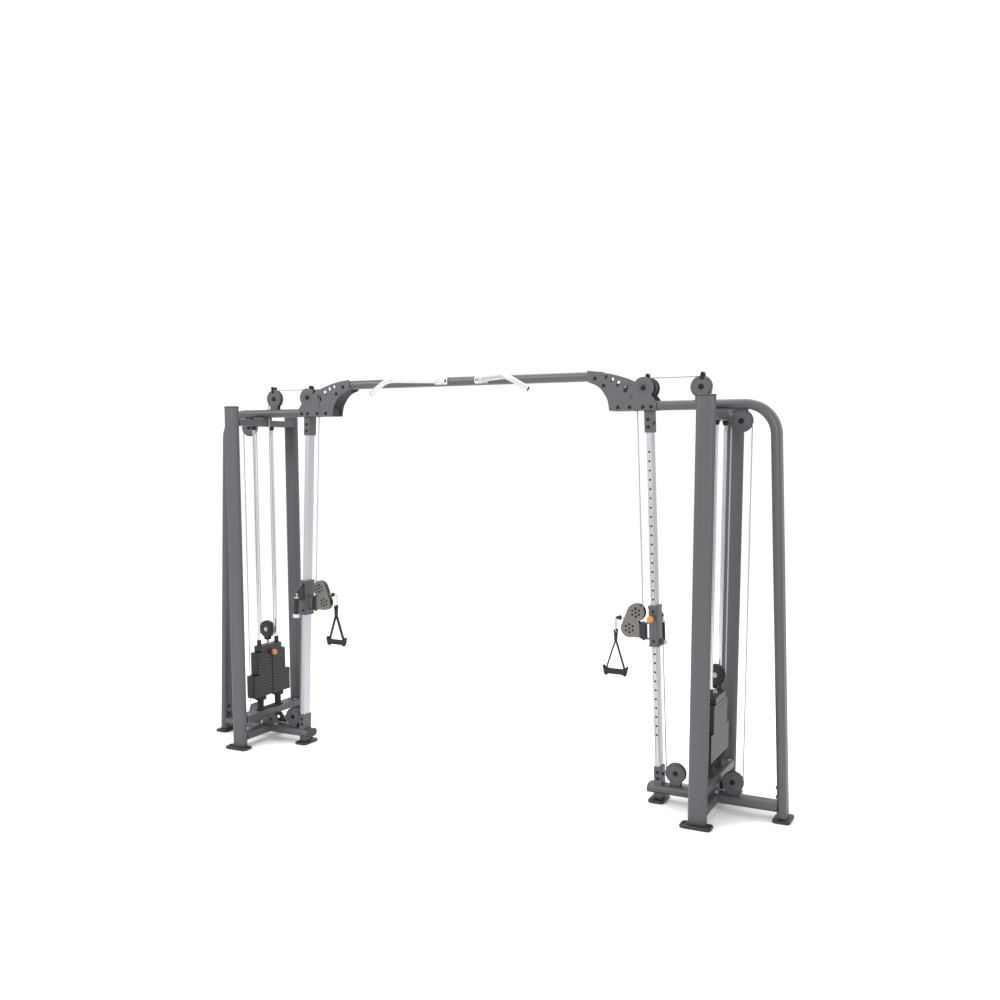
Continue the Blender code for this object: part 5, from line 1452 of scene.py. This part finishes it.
class CROSSOVER_OT_finishes(bpy.types.Operator):
    """Make the machine's finishes from the panel's colours"""

    bl_idname = "crossover.finishes"
    bl_label = "Finishes"

    def execute(self, context):
        colours = context.scene.crossover_colours
        groups = {"grain": grain_group(), "wear": wear_group(), "dust": dust_group()}
        for name in FINISHES:
            surface_finish(name, getattr(colours, name), groups)
        striped_finish("cable_sheath", colours.cable, 0.004, 0.42, 0.25, 0.10)
        striped_finish("webbing", colours.webbing, 0.0030, 0.85, 0.8, 0.45, across_pitch=0.0026)
        striped_finish("thread_grey", (0.10, 0.10, 0.10), 0.0015, 0.7, 0.4, 0.2)
        return {"FINISHED"}


class CROSSOVER_OT_frame(bpy.types.Operator):
    """Build the posts, the bent tubes, the base and the column brackets"""

    bl_idname = "crossover.frame"
    bl_label = "Frame Tubes"

    def execute(self, context):
        build_uprights()
        build_bent_tube()
        build_base()
        build_column_brackets()
        return {"FINISHED"}


class CROSSOVER_OT_gussets(bpy.types.Operator):
    """Build the gusset plates and the crossbar"""

    bl_idname = "crossover.gussets"
    bl_label = "Gussets and Crossbar"

    def execute(self, context):
        build_gussets()
        build_crossbar()
        return {"FINISHED"}


class CROSSOVER_OT_pullup_bars(bpy.types.Operator):
    """Build the two pull-up bars"""

    bl_idname = "crossover.pullup_bars"
    bl_label = "Pull-up Bars"

    def execute(self, context):
        build_pullup_bars()
        return {"FINISHED"}


class CROSSOVER_OT_wheels(bpy.types.Operator):
    """Build the wheels, their cheeks and cable retainers"""

    bl_idname = "crossover.wheels"
    bl_label = "Wheels"

    def execute(self, context):
        build_wheels()
        build_cheeks()
        return {"FINISHED"}


class CROSSOVER_OT_stacks(bpy.types.Operator):
    """Build the guide rods, weight plates, stack heads, selector pins and buffers"""

    bl_idname = "crossover.stacks"
    bl_label = "Weight Stacks"

    def execute(self, context):
        build_guide_rods()
        build_resting_plates()
        build_stack_head()
        build_selector_pins()
        build_bumpers()
        return {"FINISHED"}


class CROSSOVER_OT_columns(bpy.types.Operator):
    """Build the drilled columns"""

    bl_idname = "crossover.columns"
    bl_label = "Columns"

    def execute(self, context):
        build_columns()
        return {"FINISHED"}


class CROSSOVER_OT_carriages(bpy.types.Operator):
    """Build the carriages, their pull knobs and the swivel housings"""

    bl_idname = "crossover.carriages"
    bl_label = "Carriages"

    def execute(self, context):
        build_carriages()
        build_pop_pins()
        build_housings()
        return {"FINISHED"}


class CROSSOVER_OT_handles(bpy.types.Operator):
    """Build the cable stops, spring hooks and strap handles"""

    bl_idname = "crossover.handles"
    bl_label = "Handles"

    def execute(self, context):
        build_cable_stops()
        build_handles()
        return {"FINISHED"}


class CROSSOVER_OT_cables(bpy.types.Operator):
    """Build the cables"""

    bl_idname = "crossover.cables"
    bl_label = "Cables"

    def execute(self, context):
        build_cables()
        return {"FINISHED"}


class CROSSOVER_OT_stage(bpy.types.Operator):
    """Build the floor, the lights and the camera"""

    bl_idname = "crossover.stage"
    bl_label = "Stage"

    def execute(self, context):
        build_stage()
        return {"FINISHED"}


STEPS = (
    CROSSOVER_OT_stage,
    CROSSOVER_OT_finishes,
    CROSSOVER_OT_frame,
    CROSSOVER_OT_gussets,
    CROSSOVER_OT_pullup_bars,
    CROSSOVER_OT_wheels,
    CROSSOVER_OT_stacks,
    CROSSOVER_OT_columns,
    CROSSOVER_OT_carriages,
    CROSSOVER_OT_handles,
    CROSSOVER_OT_cables,
)


class CROSSOVER_PT_panel(bpy.types.Panel):
    """The machine's sizes, colours and build steps"""

    bl_idname = "CROSSOVER_PT_panel"
    bl_label = "Cable Crossover"
    bl_space_type = "VIEW_3D"
    bl_region_type = "UI"
    bl_category = "Crossover"

    def draw(self, context):
        for group, settings in (
            (CrossoverSizes, context.scene.crossover_sizes),
            (CrossoverColours, context.scene.crossover_colours),
        ):
            for name in group.__annotations__:
                self.layout.prop(settings, name)
        for step in STEPS:
            self.layout.operator(step.bl_idname)


CLASSES = (CrossoverSizes, CrossoverColours, *STEPS, CROSSOVER_PT_panel)


def register():
    for made in CLASSES:
        bpy.utils.register_class(made)
    bpy.types.Scene.crossover_sizes = bpy.props.PointerProperty(type=CrossoverSizes)
    bpy.types.Scene.crossover_colours = bpy.props.PointerProperty(type=CrossoverColours)


def unregister():
    del bpy.types.Scene.crossover_colours
    del bpy.types.Scene.crossover_sizes
    for made in reversed(CLASSES):
        bpy.utils.unregister_class(made)


def main():
    register()
    for step in STEPS:
        family, name = step.bl_idname.split(".")
        getattr(getattr(bpy.ops, family), name)()
    bpy.context.view_layer.update()


if __name__ == "__main__":
    main()
